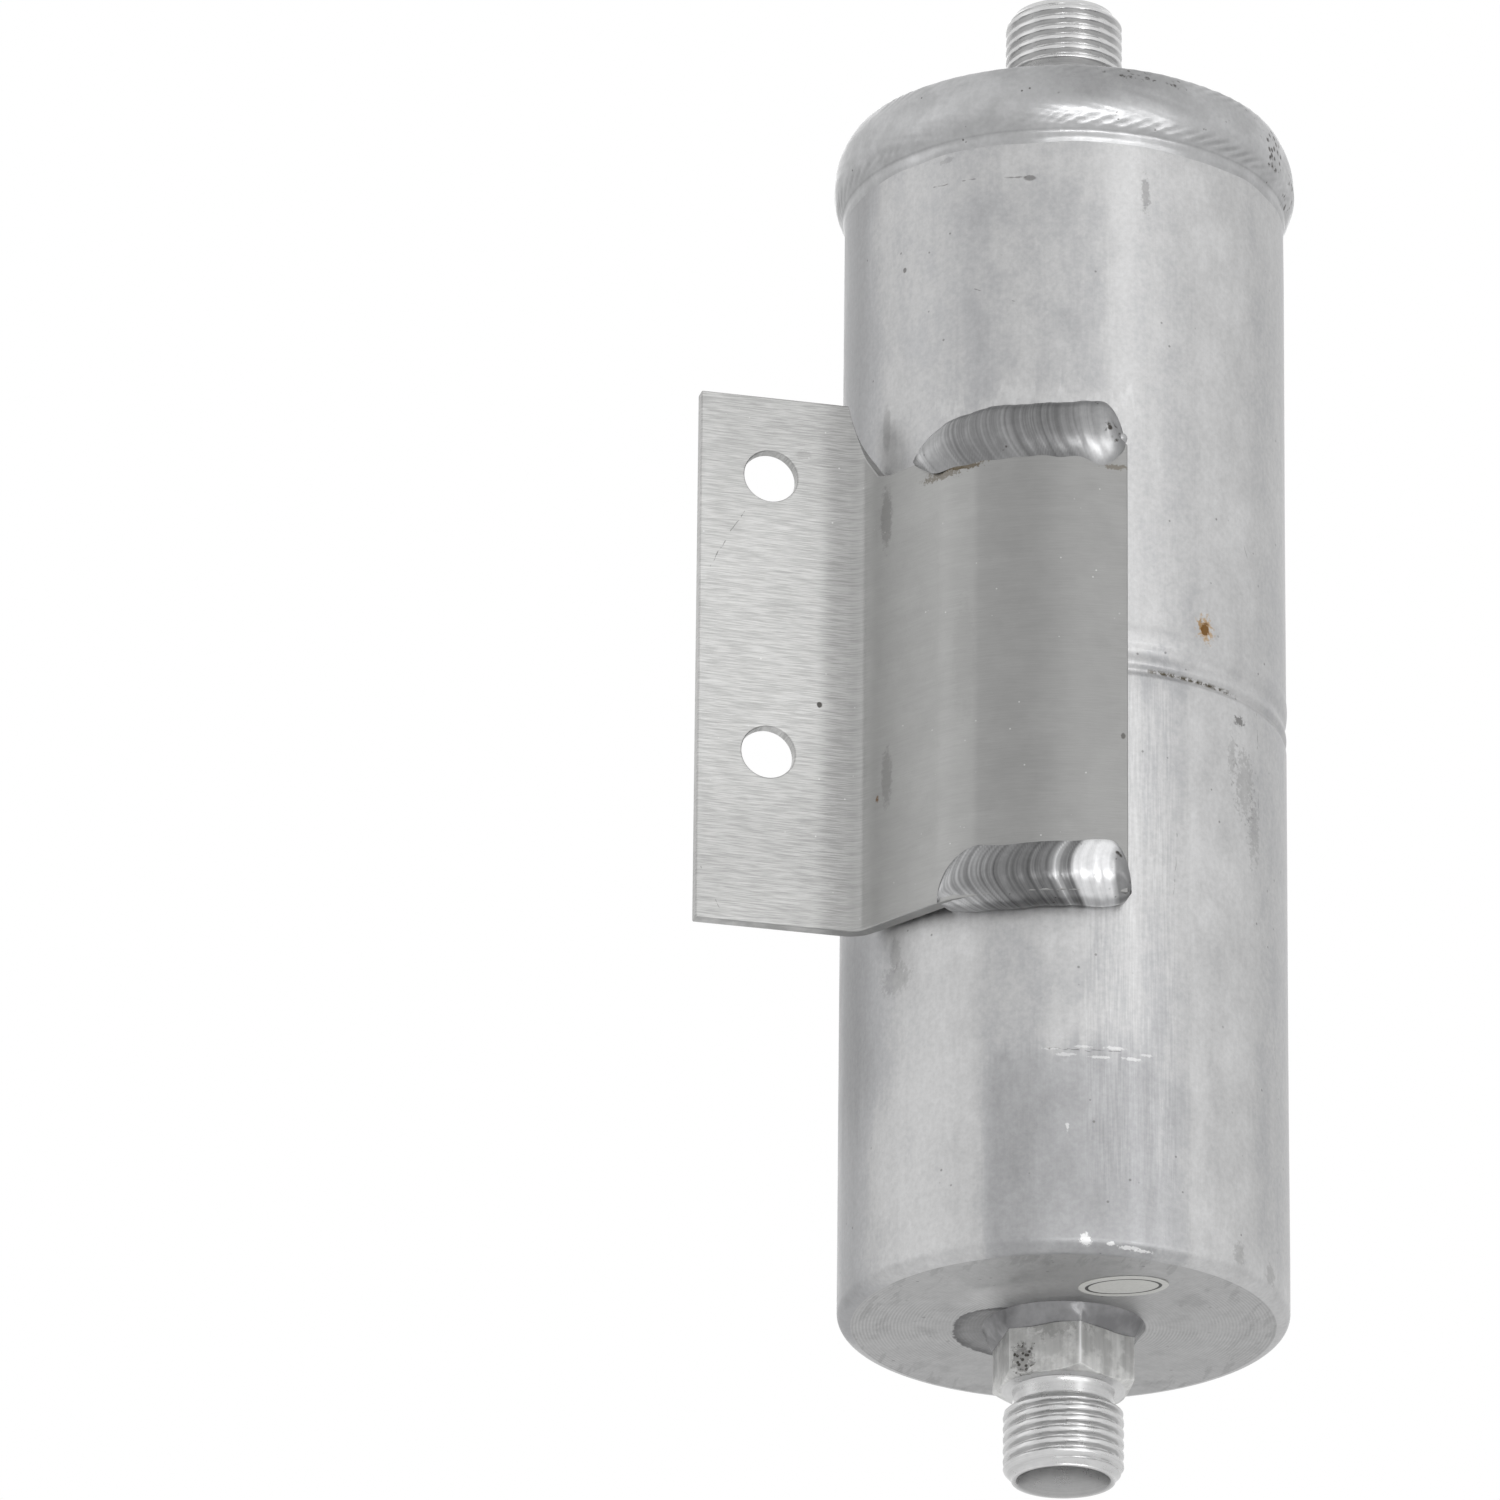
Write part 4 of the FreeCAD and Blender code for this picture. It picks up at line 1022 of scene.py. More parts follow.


# Finishes

# Bands of painted shade and painted light on the canister's side, where the studio's
# reflections fall off or brighten, at its left edge and under the bracket's flange: middle and
# half width in degrees, softness, lower and upper end and their softness in millimetres, and how
# far the tone is multiplied.
SIDE_PAINTED_LIGHT_AND_SHADE = [
    (-96.0, 10.0, 22.0, -5.0, 165.0, 5.0, 0.74),
    (-84.0, 10.0, 22.0, 34.0, 44.0, 18.0, 0.82),
    (-70.0, 28.0, 14.0, 112.0, 165.0, 10.0, 0.9),
    (-22.0, 12.0, 12.0, 116.0, 165.0, 8.0, 0.93),
    (-17.0, 17.5, 3.0, -5.0, 44.0, 6.0, 0.92),
    (-30.0, 5.0, 6.0, -5.0, 45.0, 6.0, 0.93),
    (-13.0, 18.5, 6.0, -5.0, 25.0, 7.0, 0.82),
    (5.0, 9.0, 8.0, -5.0, 28.0, 9.0, 0.92),
    (12.0, 4.0, 5.0, -5.0, 82.0, 6.0, 0.9),
    (13.0, 5.0, 7.0, 82.0, 165.0, 5.0, 0.92),
    (-26.0, 14.0, 14.0, 128.0, 150.0, 8.0, 0.96),
    (62.0, 12.0, 14.0, 10.0, 160.0, 12.0, 0.9),
    (-22.0, 25.0, 6.0, 120.6, 121.4, 1.2, 1.08),
    (-20.0, 22.0, 6.0, 43.5, 46.5, 2.0, 1.06),
]

# Dirt on the canister: angle, height, reach along and up in millimetres, raggedness, depth
SIDE_GRIME = [
    (-60.6, 144.0, 0.35, 0.4, 0.5, 0.6),
    (-67.5, 121.6, 0.9, 3.6, 0.4, 0.2),
    (6.5, 152.0, 0.6, 2.4, 1.8, 0.3),
    (-47.0, 158.2, 1.0, 0.4, 2.4, 0.18),
    (38.5, 70.2, 2.0, 4.6, 2.2, 0.2),
    (42.5, 64.5, 1.2, 4.4, 2.0, 0.2),
    (33.5, 73.5, 0.8, 3.2, 2.0, 0.18),
    (-62.9, 45.0, 1.1, 2.2, 0.9, 0.2),
    (-23.8, 153.7, 0.85, 0.42, 0.5, 0.5),
    (36.4, 79.0, 1.0, 0.7, 1.6, 0.6),
    (35.0, 3.5, 1.0, 1.6, 1.4, 0.2),
    (50.0, 2.8, 1.4, 1.4, 1.4, 0.2),
    (-44.1, 117.4, 3.4, 1.2, 1.3, 0.22),
    (-63.0, 41.5, 3.0, 2.0, 1.3, 0.18),
    (22.5, 90.8, 0.4, 0.9, 1.4, 0.5),
]

# Thin dark lines on the canister: scratches, and painted shade beside the crinkles at a height
# of about 28 mm: angle and height of both ends, width
SIDE_SCRATCHES_AND_CRINKLE_SHADE = [
    (-52.0, 155.0, -45.0, 154.6, 0.12),
    (-42.0, 154.7, -25.0, 153.9, 0.16),
    (-38.4, 138.4, -27.0, 135.4, 0.1),
    (-31.0, 0.9, -25.0, 0.7, 0.14),
    (-30.0, 0.2, -26.0, 0.1, 0.12),
    (44.0, 86.0, 45.0, 66.0, 0.1),
    (28.0, 112.0, 41.0, 103.0, 0.08),
    (14.0, 51.0, 15.0, 60.0, 0.08),
    (52.0, 40.0, 56.0, 30.0, 0.08),
    (-20.0, 28.2, -13.0, 27.7, 0.09),
    (-14.0, 28.0, -6.0, 27.3, 0.1),
    (-8.0, 27.8, 0.0, 28.2, 0.1),
    (-2.0, 27.8, 5.0, 26.9, 0.09),
]

# Bright nicks on the canister, and painted highlights on the crinkles at a height of about
# 27 mm: angle, height, reach along and up, depth
SIDE_NICKS_AND_CRINKLE_LIGHT = [
    (-9.5, 1.4, 0.75, 0.95, 0.7),
    (-3.0, 1.1, 0.5, 0.25, 0.7),
    (1.5, 0.8, 1.8, 0.22, 0.7),
    (5.5, 0.6, 1.5, 0.18, 0.7),
    (-14.0, 17.0, 0.25, 0.7, 0.5),
    (-18.5, 28.0, 1.2, 0.2, 0.3),
    (-14.5, 27.2, 1.4, 0.22, 0.35),
    (-10.0, 28.3, 1.1, 0.2, 0.35),
    (-6.0, 26.9, 1.5, 0.2, 0.4),
    (-2.0, 28.3, 1.3, 0.25, 0.4),
    (2.5, 27.0, 1.4, 0.22, 0.4),
    (6.0, 27.8, 0.9, 0.2, 0.35),
]


def on_side(degrees, height, radius=30.0):
    """Point at an angle round the canister, a height and a radius."""
    turn = math.radians(degrees)
    return (radius * math.sin(turn), -radius * math.cos(turn), height)


def side_marks(web, place, tone, tones):
    """Add the canister's smudges, bright nicked spots, scratches and rust spot to a tone, and the
    crinkles low on its side as painted highlights beside painted shade.
    """
    grime = [(on_side(degrees, height), (reach, reach, rise), ragged, depth)
             for degrees, height, reach, rise, ragged, depth in SIDE_GRIME]
    bright_marks = [(on_side(degrees, height), (reach, reach, rise), 1.6, depth)
             for degrees, height, reach, rise, depth in SIDE_NICKS_AND_CRINKLE_LIGHT]
    lines = [(on_side(start, start_height), on_side(end, end_height), width)
             for start, start_height, end, end_height, width in SIDE_SCRATCHES_AND_CRINKLE_SHADE]
    rust = on_side(23.8, 90.3)
    tone = web.spots(tone, place, grime, tones.grime)
    tone = web.spots(tone, place, bright_marks, (0.85, 0.85, 0.85))
    tone = web.scratches(tone, place, lines, 0.45, tones.grime)
    tone = web.spots(tone, place, [(rust, (1.3, 1.3, 1.7), 1.8, 0.6)], (0.42, 0.24, 0.06))
    return web.spots(tone, place, [(rust, (0.75, 0.75, 0.95), 1.3, 0.9)], tones.rust)


def bottom_tone(web, place, angle, radius, tones):
    """Turned bottom face: grey with clouds, ring marks, a lighter zone of painted light where the
    union shades the face, and scuffs near the edge.
    The flux stain round the union ends at a ragged radius, further out by the root of 1 less
    the square of the angle's share in its lobe; also returns the stain's mask."""
    pitch = in_mm(bpy.context.scene.drier_canister).facing_pitch
    wavy = web.noise(place, 160.0, 3.0, 0.5)
    ragged = web.noise(place, 900.0, 3.0, 0.6)
    lobe_at, lobe_half = -122.0, 64.0
    share = abs(angle - lobe_at).remap(0.0, lobe_half)
    lobe = web.math("SQRT", web.math("SUBTRACT", 1.0, share * share))
    reach = lobe * 4.4 + 10.3 + wavy.remap(0.3, 0.7, -0.3, 0.3) + ragged.remap(0.3, 0.7, -0.2, 0.2)
    mottle = web.use("smudges", place, 4.0, 0.3, 0.4)
    stain = radius.remap(reach + 0.3, reach - 0.1) * radius.remap(reach - 1.7, reach, 0.6, 1.0)
    stain = stain * mottle.factor(1.0, 0.85)
    blotch = web.use("smudges", place, 8.0, 0.5, 0.2)
    level = blotch.factor(0.86) * web.noise(place, 1100.0, 3.0, 0.6).near_one(0.05)
    rings = web.math("SINE", radius * (TURN / pitch)) * wavy.remap(0.35, 0.65, 0.03, 0.1)
    # Painted light: a lighter zone that offsets the union's shadow on the face.
    lighter = web.use("band", angle, radius, -38.0, 18.0, 26.0, 11.0, 16.0, 4.0)
    scuffs = web.noise(web.vector("MULTIPLY", place, (1, 0.2, 1)), 700.0, 4.0, 0.65)
    scuffs = scuffs.remap(0.52, 0.62) * radius.remap(19.0, 27.0)
    level = level * (rings + 1.0) * lighter.factor(1.18) * scuffs.factor(0.86)
    tone = web.mix(stain, web.scaled((0.41, 0.41, 0.411), level), (0.135, 0.135, 0.138))
    specks = web.use("pits", place, 1.6, 0.2, 0.56)
    return web.mix(specks * 0.3, tone, tones.grime), stain


def drawn_aluminium(web, place, tones):
    """Satin side with fine mottled grain, bands of painted shade and painted light with torn
    edges, an upright scored band, and the turned bottom."""
    angle, radius, height = web.use("round the axis", place)
    fine, broad = web.use("grain", place, (3600, 3600, 150))
    wide_fine, wide_broad = web.use("grain", place, (420, 420, 22))
    mottle = web.noise(place, 1300.0, 4.0, 0.7)
    dapple = web.noise(web.vector("MULTIPLY", place, (1, 1, 0.6)), 260.0, 4.0, 0.62)
    clouds = web.use("smudges", place, 22.0, 0.4, 0.3)
    level = mottle.near_one(0.07) * dapple.near_one(0.08) * wide_fine.near_one(0.02)
    level = level * clouds.factor(1.03, 0.97)
    swayed = angle + ((wide_broad - 0.5) * 7.0 + (fine - 0.5) * 2.2)
    torn = (broad - 0.5) * 14.0 + height
    # Bands of painted shade and painted light; where the level falls the colour also turns a little
    # cooler.
    for *band, share in SIDE_PAINTED_LIGHT_AND_SHADE:
        level = level * web.use("band", swayed, torn, *band).factor(share)
    scored = web.use("band", swayed, torn, 2.0, 10.0, 5.0, 12.0, 82.0, 6.0)
    score = (fine.remap(0.36, 0.66, 0.94, 1.07) - 1.0) * scored.factor(1.0, 0.12) + 1.0
    level = level * score
    cool = web.mix(level.remap(0.94, 0.78), tones.drawn, (0.515, 0.517, 0.527))
    tone = side_marks(web, place, web.scaled(cool, level), tones)
    front = web.use("band", angle, height, 21.0, 10.0, 7.0, 0.0, 200.0, 3.0)
    in_groove = web.mark("valley") * mottle.remap(0.42, 0.56) * front.factor(1.0, 0.1)
    tone = web.mix(in_groove, tone, (0.05, 0.04, 0.02))
    tone = web.mix(web.use("pits", place, 2.6, 0.09, 0.5) * 0.45, tone, tones.grime)
    bottom, stain = bottom_tone(web, place, angle, radius, tones)
    turned = web.mark("turned")
    rough = dapple.remap(0.3, 0.7, 0.4, 0.5) + stain * (turned * 0.15)
    return web.mix(turned, tone, bottom), rough, mottle * 0.8 + fine * 0.5, 0.03


def cap_aluminium(web, place, tones):
    """Dull turned cap with specks, faint rings and flux stain round the inlet union."""
    angle, radius, _ = web.use("round the axis", place)
    mottle = web.use("smudges", place, 1.2, 0.3, 0.4)
    clouds = web.use("smudges", place, 14.0, 0.4, 0.3)
    wavering = web.noise(place, 90.0)
    rings = web.math("SINE", radius * (TURN / 0.5)) * wavering.remap(0.4, 0.7)
    level = rings * 0.03 + mottle.factor(1.07, 0.93) * clouds.factor(1.08, 0.9)
    bright = web.use("pits", place, 1.4, 0.12, 0.5)
    tone = web.mix(bright * 0.6, web.scaled(tones.cap, level), (0.8, 0.8, 0.8))
    reach = abs(angle + 110.0).remap(70.0, 0.0, 11.2, 13.6) + wavering.remap(0.3, 0.7, -0.7, 0.7)
    tone = web.mix(radius.remap(reach + 0.5, reach) * 0.75, tone, tones.braze)
    return tone, mottle.factor(0.58, 0.5), mottle * 0.5 + rings * 0.4, 0.015


def weld_metal(web, place, tones):
    """Cast-looking bead: its tone follows the mesh's shade mark, which is painted light and
    shade, the ripples' valleys are darker with painted shade, and dark pits cluster in a few places."""
    valley = web.mark("valley")
    clouds = web.use("smudges", place, 8.0, 0.35, 0.35)
    fine = web.noise(place, 1500.0, 3.0, 0.6)
    # The shade mark's painted light and shade, and painted shade in the valleys.
    level = clouds.factor(1.08, 0.9) * valley.factor(0.74) * (web.mark("shade") + 1.0)
    tone = web.scaled(tones.weld, level * fine.near_one(0.04, 0.2))
    pits = web.use("pits", place, 0.9, 0.24, 0.63)
    tone = web.mix(pits * 0.7, tone, tones.grime)
    crumbs = web.use("pits", place, 1.0, 0.5, 0.34) * 0.9
    clusters = [(on_side(*middle), reach, 1.0, crumbs) for middle, reach in (
        ((50.0, 166.0, 31.3), (3.2, 3.2, 3.2)),
        ((66.0, 162.8, 31.2), (2.8, 2.8, 3.2)),
        ((-4.3, 114.4, 34.8), (1.1, 1.1, 1.6)),
        ((4.5, 169.0, 29.5), (7.0, 1.6, 1.1)),
        ((-2.5, 54.3, 35.2), (1.2, 1.2, 1.1)),
        ((-8.0, 50.6, 35.4), (0.6, 0.6, 0.6)),
    )]
    tone = web.spots(tone, place, clusters, tones.grime)
    return tone, clouds.factor(0.28, 0.36) + valley * 0.1, fine - pits * 2.0, 0.012


def turned_aluminium(web, place, tones):
    """Bright turned metal: rings round the axis, grey roots, a bore darkened with painted shade,
    and a dull stained hexagon whose corners carry a painted highlight, strongest in front."""
    _, radius, height = web.use("round the axis", place)
    section = web.value("ShaderNodeCombineXYZ", (radius * 7.0, height * 7.0))
    rings = web.noise(section, 1.0, 3.0, 0.6)
    dapple = web.noise(place, 420.0, 4.0, 0.65)
    hexagon = web.mark("hexagon")
    dirt = web.mark("root") * (dapple.remap(0.4, 0.65, 0.96, 0.85) - 1.0) + 1.0
    # The hollow mark darkens the bore with painted shade.
    level = rings.near_one(0.07) * dapple.near_one(0.07) * dirt * web.mark("hollow").factor(0.66)
    clouds = web.use("smudges", place, 2.6, 0.35, 0.35)
    upright = web.noise(web.vector("MULTIPLY", place, (1, 1, 0.1)), 1500.0)
    dull = web.scaled((0.63, 0.63, 0.62), clouds.factor(1.12, 0.82) * upright.near_one(0.07, 0.2))
    # The ridge mark adds a painted highlight along the hexagon's corners.
    dull = web.mix(web.mark("ridge"), dull, (0.97, 0.97, 0.97))
    tone = web.mix(hexagon, web.scaled(tones.turned, level), dull)
    crumbs = web.use("pits", place, 0.6, 0.5, 0.35)
    tone = web.spots(tone, place, [
        ((-4.0, -8.0, -2.6), (5.0, 2.0, 1.6), 1.6, 0.25),
        ((-7.2, -5.8, -7.0), (1.5, 1.5, 2.1), 1.6, crumbs.factor(0.9, 0.45)),
    ], tones.grime)
    return tone, hexagon * 0.14 + dapple.remap(0.3, 0.7, 0.26, 0.34), rings, 0.012


def braze_metal(web, place, tones):
    """Smooth grey brazed fillet with a dark crumbly rest of flux at one side."""
    clouds = web.use("smudges", place, 4.0, 0.35, 0.35)
    crumbs = web.use("pits", place, 0.5, 0.5, 0.42)
    rest = [((10.6, -0.6, -0.4), (1.6, 2.4, 1.4), 1.2, crumbs.factor(0.8, 0.2))]
    tone = web.mix(clouds, tones.braze, (0.27, 0.27, 0.275))
    tone = web.spots(tone, place, rest, tones.grime)
    return tone, clouds.factor(0.32, 0.44), web.noise(place, 1200.0, 4.0, 0.65), 0.02


# Painted shade along the bent sheet, darker where its faces turn away from the light: share of
# its length, and how far the colour is multiplied
SHEET_PAINTED_SHADE = [
    (0.0, 0.72), (0.15, 0.72), (0.255, 0.7), (0.28, 0.56), (0.325, 0.5), (0.35, 0.64), (0.385, 0.8),
    (0.41, 0.62), (0.44, 0.63), (0.5, 0.64), (0.62, 0.65), (0.675, 0.63), (0.69, 0.53), (0.78, 0.46),
    (0.84, 0.49), (0.88, 0.54), (0.93, 0.52), (1.0, 0.46),
]


def on_flange(across, height, front=-10.8):
    """Point on the front face of the bracket's flange."""
    return (across, front, height)


# Marks on the sheet: middle, reach, raggedness and depth; scratches: start, end and width
SHEET_SMEARS = [
    (on_side(-61.8, 107.0, 33.0), (1.2, 1.2, 5.0), 0.6, 0.28),
    (on_side(-61.2, 69.3, 33.0), (1.1, 1.1, 5.0), 0.6, 0.24),
    (on_side(-38.0, 83.0, 33.9), (1.6, 1.6, 9.0), 1.0, 0.05),
    (on_flange(-36.6, 80.9), (0.42, 0.42, 0.42), 0.6, 0.85),
    (on_flange(-39.1, 117.0), (1.1, 1.1, 0.7), 1.4, 0.12),
    (on_side(-1.6, 71.0, 33.9), (0.35, 0.35, 0.42), 0.5, 0.6),
]
SHEET_BURNS = [
    (on_side(-44.0, 110.3, 33.9), (3.0, 3.0, 0.8), 1.8, 0.55),
    (on_side(-38.5, 110.7, 33.9), (3.0, 3.0, 0.5), 1.6, 0.75),
    (on_side(-3.0, 109.6, 33.9), (1.6, 1.6, 0.4), 1.8, 0.5),
]
SHEET_SCRATCHES = [
    (on_flange(-47.2, 107.9), on_flange(-53.1, 97.0), 0.1),
    (on_flange(-52.6, 56.0), on_flange(-50.0, 50.5), 0.09),
]
SHEET_RUST = [(on_side(-64.2, 66.7, 33.0), (0.5, 0.5, 0.7), 0.6, 0.8)]


def sheet_aluminium(web, place, tones):
    """Mill finish: its tone follows a table of painted shade along the sheet, darker where its
    faces turn away from the light. Crosswise streaks fade past the flange, whose middle is
    lighter by wear, and marks lie on top."""
    # Painted shade along the sheet, from the share of its length.
    along = web.mark("along")
    ramp = web.add("ShaderNodeValToRGB", (along,))
    ramp.color_ramp.interpolation = "B_SPLINE"
    for position, level in SHEET_PAINTED_SHADE[1:-1]:
        ramp.color_ramp.elements.new(position)
    for element, (position, level) in zip(ramp.color_ramp.elements, SHEET_PAINTED_SHADE):
        element.color = (level, level, level, 1)
    fine = web.use("grain", place, (300, 300, 7600))[0]
    coarse = web.use("grain", place, (90, 90, 900))[0]
    dapple = web.noise(place, 380.0, 4.0, 0.65)
    clouds = web.use("smudges", place, 9.0, 0.4, 0.3)
    height = web.use("round the axis", place)[2]
    streaks = fine.remap(0.32, 0.68, -0.19, 0.19) * along.remap(0.42, 0.3, 0.16, 1.0) + 1.0
    brightening = abs(height - 90.0).remap(36.0, 8.0, 0.0, 0.16) * along.remap(0.3, 0.26) + 1.0
    level = streaks * brightening * coarse.near_one(0.015, 0.2) * clouds.factor(1.025, 0.975)
    tone = web.scaled(tones.rolled, level * dapple.near_one(0.035))
    tone = web.mix(1.0, tone, ramp.outputs["Color"], "MULTIPLY")
    tone = web.spots(tone, place, SHEET_SMEARS, tones.grime)
    tone = web.spots(tone, place, SHEET_BURNS, (0.09, 0.065, 0.03))
    tone = web.scratches(tone, place, SHEET_SCRATCHES, 0.5, tones.grime)
    tone = web.mix(web.use("pits", place, 1.9, 0.08, 0.5) * 0.35, tone, (0.9, 0.9, 0.9))
    tone = web.spots(tone, place, SHEET_RUST, tones.rust)
    return tone, dapple.remap(0.3, 0.7, 0.4, 0.5), fine + dapple, 0.016


def label_paper(web, place, tones):
    """Matte oval sticker with a thin printed ring."""
    size = in_mm(bpy.context.scene.drier_sticker)
    ring_long, ring_wide = 4.9 * MM, 2.65 * MM
    moved = web.vector("SUBTRACT", place, (size.across * MM, size.forward * MM, 0))
    turned = web.value("ShaderNodeMapping", {"Vector": moved, "Rotation": (0, 0, -size.turn)})
    oval = web.vector("LENGTH", web.vector("MULTIPLY", turned, (1 / ring_long, 1 / ring_wide, 0)))
    ring = abs(oval - 1.0).remap(0.055, 0.035)
    fibres = web.noise(place, 2500.0, 4.0, 0.7)
    tone = web.scaled(tones.sticker, fibres.near_one(0.05, 0.2))
    return web.mix(ring * 0.93, tone, (0.02, 0.02, 0.02)), 0.62, fibres, 0.006


def wire_gauze(web, place, tones):
    """Fine woven wire: crossed waves of wires, with painted shade between them."""
    parts = web.values("ShaderNodeSeparateXYZ", (place,))
    x, y, z = (web.math("SINE", part * (TURN / (0.9 * MM))) for part in parts)
    weave = abs(x * y + z).remap(0.1, 0.8)
    tone = web.mix(weave, (0.08, 0.08, 0.08), (0.5, 0.5, 0.49))
    return tone, weave.factor(0.3, 0.6), weave, 0.08


def plate_steel(web, place, tones):
    """Pressed steel plate with faint rolling marks and smudges."""
    grain = web.use("grain", place, (2200, 110, 110))[0]
    clouds = web.use("smudges", place, 7.0, 0.4, 0.3)
    level = grain.near_one(0.1) * clouds.factor(1.05, 0.9)
    return web.scaled((0.5, 0.5, 0.51), level), 0.35, grain, 0.012


def filter_felt(web, place, tones):
    """Pressed felt: tangled fibres and a soft uneven tone."""
    inputs = {"Vector": place, "Scale": 1900.0, "Detail": 6.0, "Distortion": 2.5}
    tangle = web.value("ShaderNodeTexNoise", inputs)
    clouds = web.use("smudges", place, 6.0, 0.35, 0.4)
    level = tangle.remap(0.3, 0.7, 0.82, 1.12) * clouds.factor(1.04, 0.93)
    return web.scaled((0.7, 0.69, 0.64), level), 0.92, tangle, 0.25


def desiccant_beads(web, place, tones):
    """Bed of small beads: cells with a round relief and a tone of their own, and painted shade
    in the gaps between them.
    """
    cells = web.values("ShaderNodeTexVoronoi", {"Vector": place, "Scale": 1 / (2.2 * MM)})
    # Painted shade: dark in the gaps between the beads.
    relief = cells[0].remap(0.55, 0.05)
    shade = web.value("ShaderNodeSeparateColor", (cells[1],))
    bead = web.mix(shade, (0.62, 0.56, 0.45), (0.78, 0.73, 0.62))
    return web.mix(relief, (0.16, 0.14, 0.11), bead), 0.75, relief, 0.5


def spring_steel(web, place, tones):
    """Drawn spring wire with a thin oxide tone."""
    clouds = web.use("smudges", place, 3.0, 0.35, 0.35)
    tone = web.mix(clouds, (0.27, 0.26, 0.25), (0.42, 0.42, 0.42))
    return tone, clouds.factor(0.28, 0.4), web.noise(place, 2600.0, 3.0, 0.6), 0.01


# Each finish gives colour, roughness, height and the height's relief in millimetres
METALS = (drawn_aluminium, cap_aluminium, weld_metal, turned_aluminium, braze_metal,
          sheet_aluminium, wire_gauze, plate_steel, spring_steel)
OTHERS = (label_paper, filter_felt, desiccant_beads)
FINISHES = {maker.__name__: maker for maker in METALS + OTHERS}


def finish(slot):
    """The slot's material, made on first use."""
    if "round the axis" not in bpy.data.node_groups:
        make_effects()
    if slot not in bpy.data.materials or not bpy.data.materials[slot].get("drier"):
        if slot in bpy.data.materials:
            bpy.data.materials[slot].name = slot + ".packed"
        material = bpy.data.materials.new(slot)
        material.use_nodes = True
        material["drier"] = 1
        web = Web(material.node_tree)
        place = web.add("ShaderNodeTexCoord").outputs["Object"]
        maker = FINISHES[slot]
        tone, rough, height, relief = maker(web, place, in_mm(bpy.context.scene.drier_finishes))
        bump = web.value("ShaderNodeBump", {
            "Height": height, "Distance": relief * MM, "Strength": 1.0})
        shader = material.node_tree.nodes["Principled BSDF"].inputs
        for label, value in (("Base Color", tone), ("Roughness", rough), ("Normal", bump),
                             ("Metallic", float(maker in METALS))):
            web.join(value, shader[label])
    return bpy.data.materials[slot]


# Steps

class DRIER_OT_canister(bpy.types.Operator):
    """Make the canister's skin"""

    bl_idname = "drier.canister"
    bl_label = "Canister"

    def execute(self, context):
        rows, marks = canister_surface(in_mm(context.scene.drier_canister))
        piece = make_skin("canister_skin", rows, "drawn_aluminium", marks)
        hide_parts("canister_shell")
        return {"FINISHED"}


class DRIER_OT_rim_weld(bpy.types.Operator):
    """Make the rippled weld round the cap"""

    bl_idname = "drier.rim_weld"
    bl_label = "Rim weld"

    def execute(self, context):
        can = in_mm(context.scene.drier_canister)
        rows, marks = rim_weld_surface(can, in_mm(context.scene.drier_rim_weld))
        piece = make_skin("rim_weld_skin", rows, "weld_metal", marks, sharp=60)
        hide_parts("rim_weld")
        return {"FINISHED"}


class DRIER_OT_unions(bpy.types.Operator):
    """Make both threaded unions and their brazed fillets"""

    bl_idname = "drier.unions"
    bl_label = "Unions"

    def execute(self, context):
        can = in_mm(context.scene.drier_canister)
        size = in_mm(context.scene.drier_union)
        top = can.height + can.cap_head
        root_at, root_turn = 13.8, 15 / 360
        for name, turn, level, side, seed in (
            ("outlet", size.outlet_turn, 0.0, -1, 61),
            ("inlet", size.inlet_turn, top, 1, 71),
        ):
            root = level + side * root_at + size.pitch * root_turn
            rows, marks = union_surface(size, turn, level, side, root)
            piece = make_skin(name + "_union", rows, "turned_aluminium", marks)
            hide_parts(name + "_fitting")
            rows = braze_surface(size, turn, level, side, seed)
            piece = make_skin(name + "_fillet", rows, "braze_metal", sharp=70)
            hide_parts(name + "_braze")
        return {"FINISHED"}


class DRIER_OT_bracket(bpy.types.Operator):
    """Make the bent sheet bracket"""

    bl_idname = "drier.bracket"
    bl_label = "Bracket"

    def execute(self, context):
        size = in_mm(context.scene.drier_bracket)
        points, faces, along = bracket_surface(size)
        piece = make_piece("bracket_sheet", points, faces, "sheet_aluminium", {"along": along}, None)
        merge_doubles(piece)
        wall = piece.modifiers.new("Sheet", "SOLIDIFY")
        wall.thickness = size.sheet * MM
        wall.offset = 0
        wall.use_even_offset = True
        rounding = piece.modifiers.new("Edges", "BEVEL")
        rounding.width = size.edge * MM
        rounding.segments = 2
        rounding.limit_method = "ANGLE"
        rounding.angle_limit = math.radians(50)
        rounding.harden_normals = True
        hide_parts("mounting_bracket")
        return {"FINISHED"}


def merge_doubles(piece):
    """Join the points that the grid and the hole rings share."""
    work = bmesh.new()
    work.from_mesh(piece.data)
    bmesh.ops.remove_doubles(work, verts=work.verts, dist=0.01 * MM)
    bmesh.ops.recalc_face_normals(work, faces=work.faces)
    work.to_mesh(piece.data)
    work.free()
    piece.data.shade_smooth()


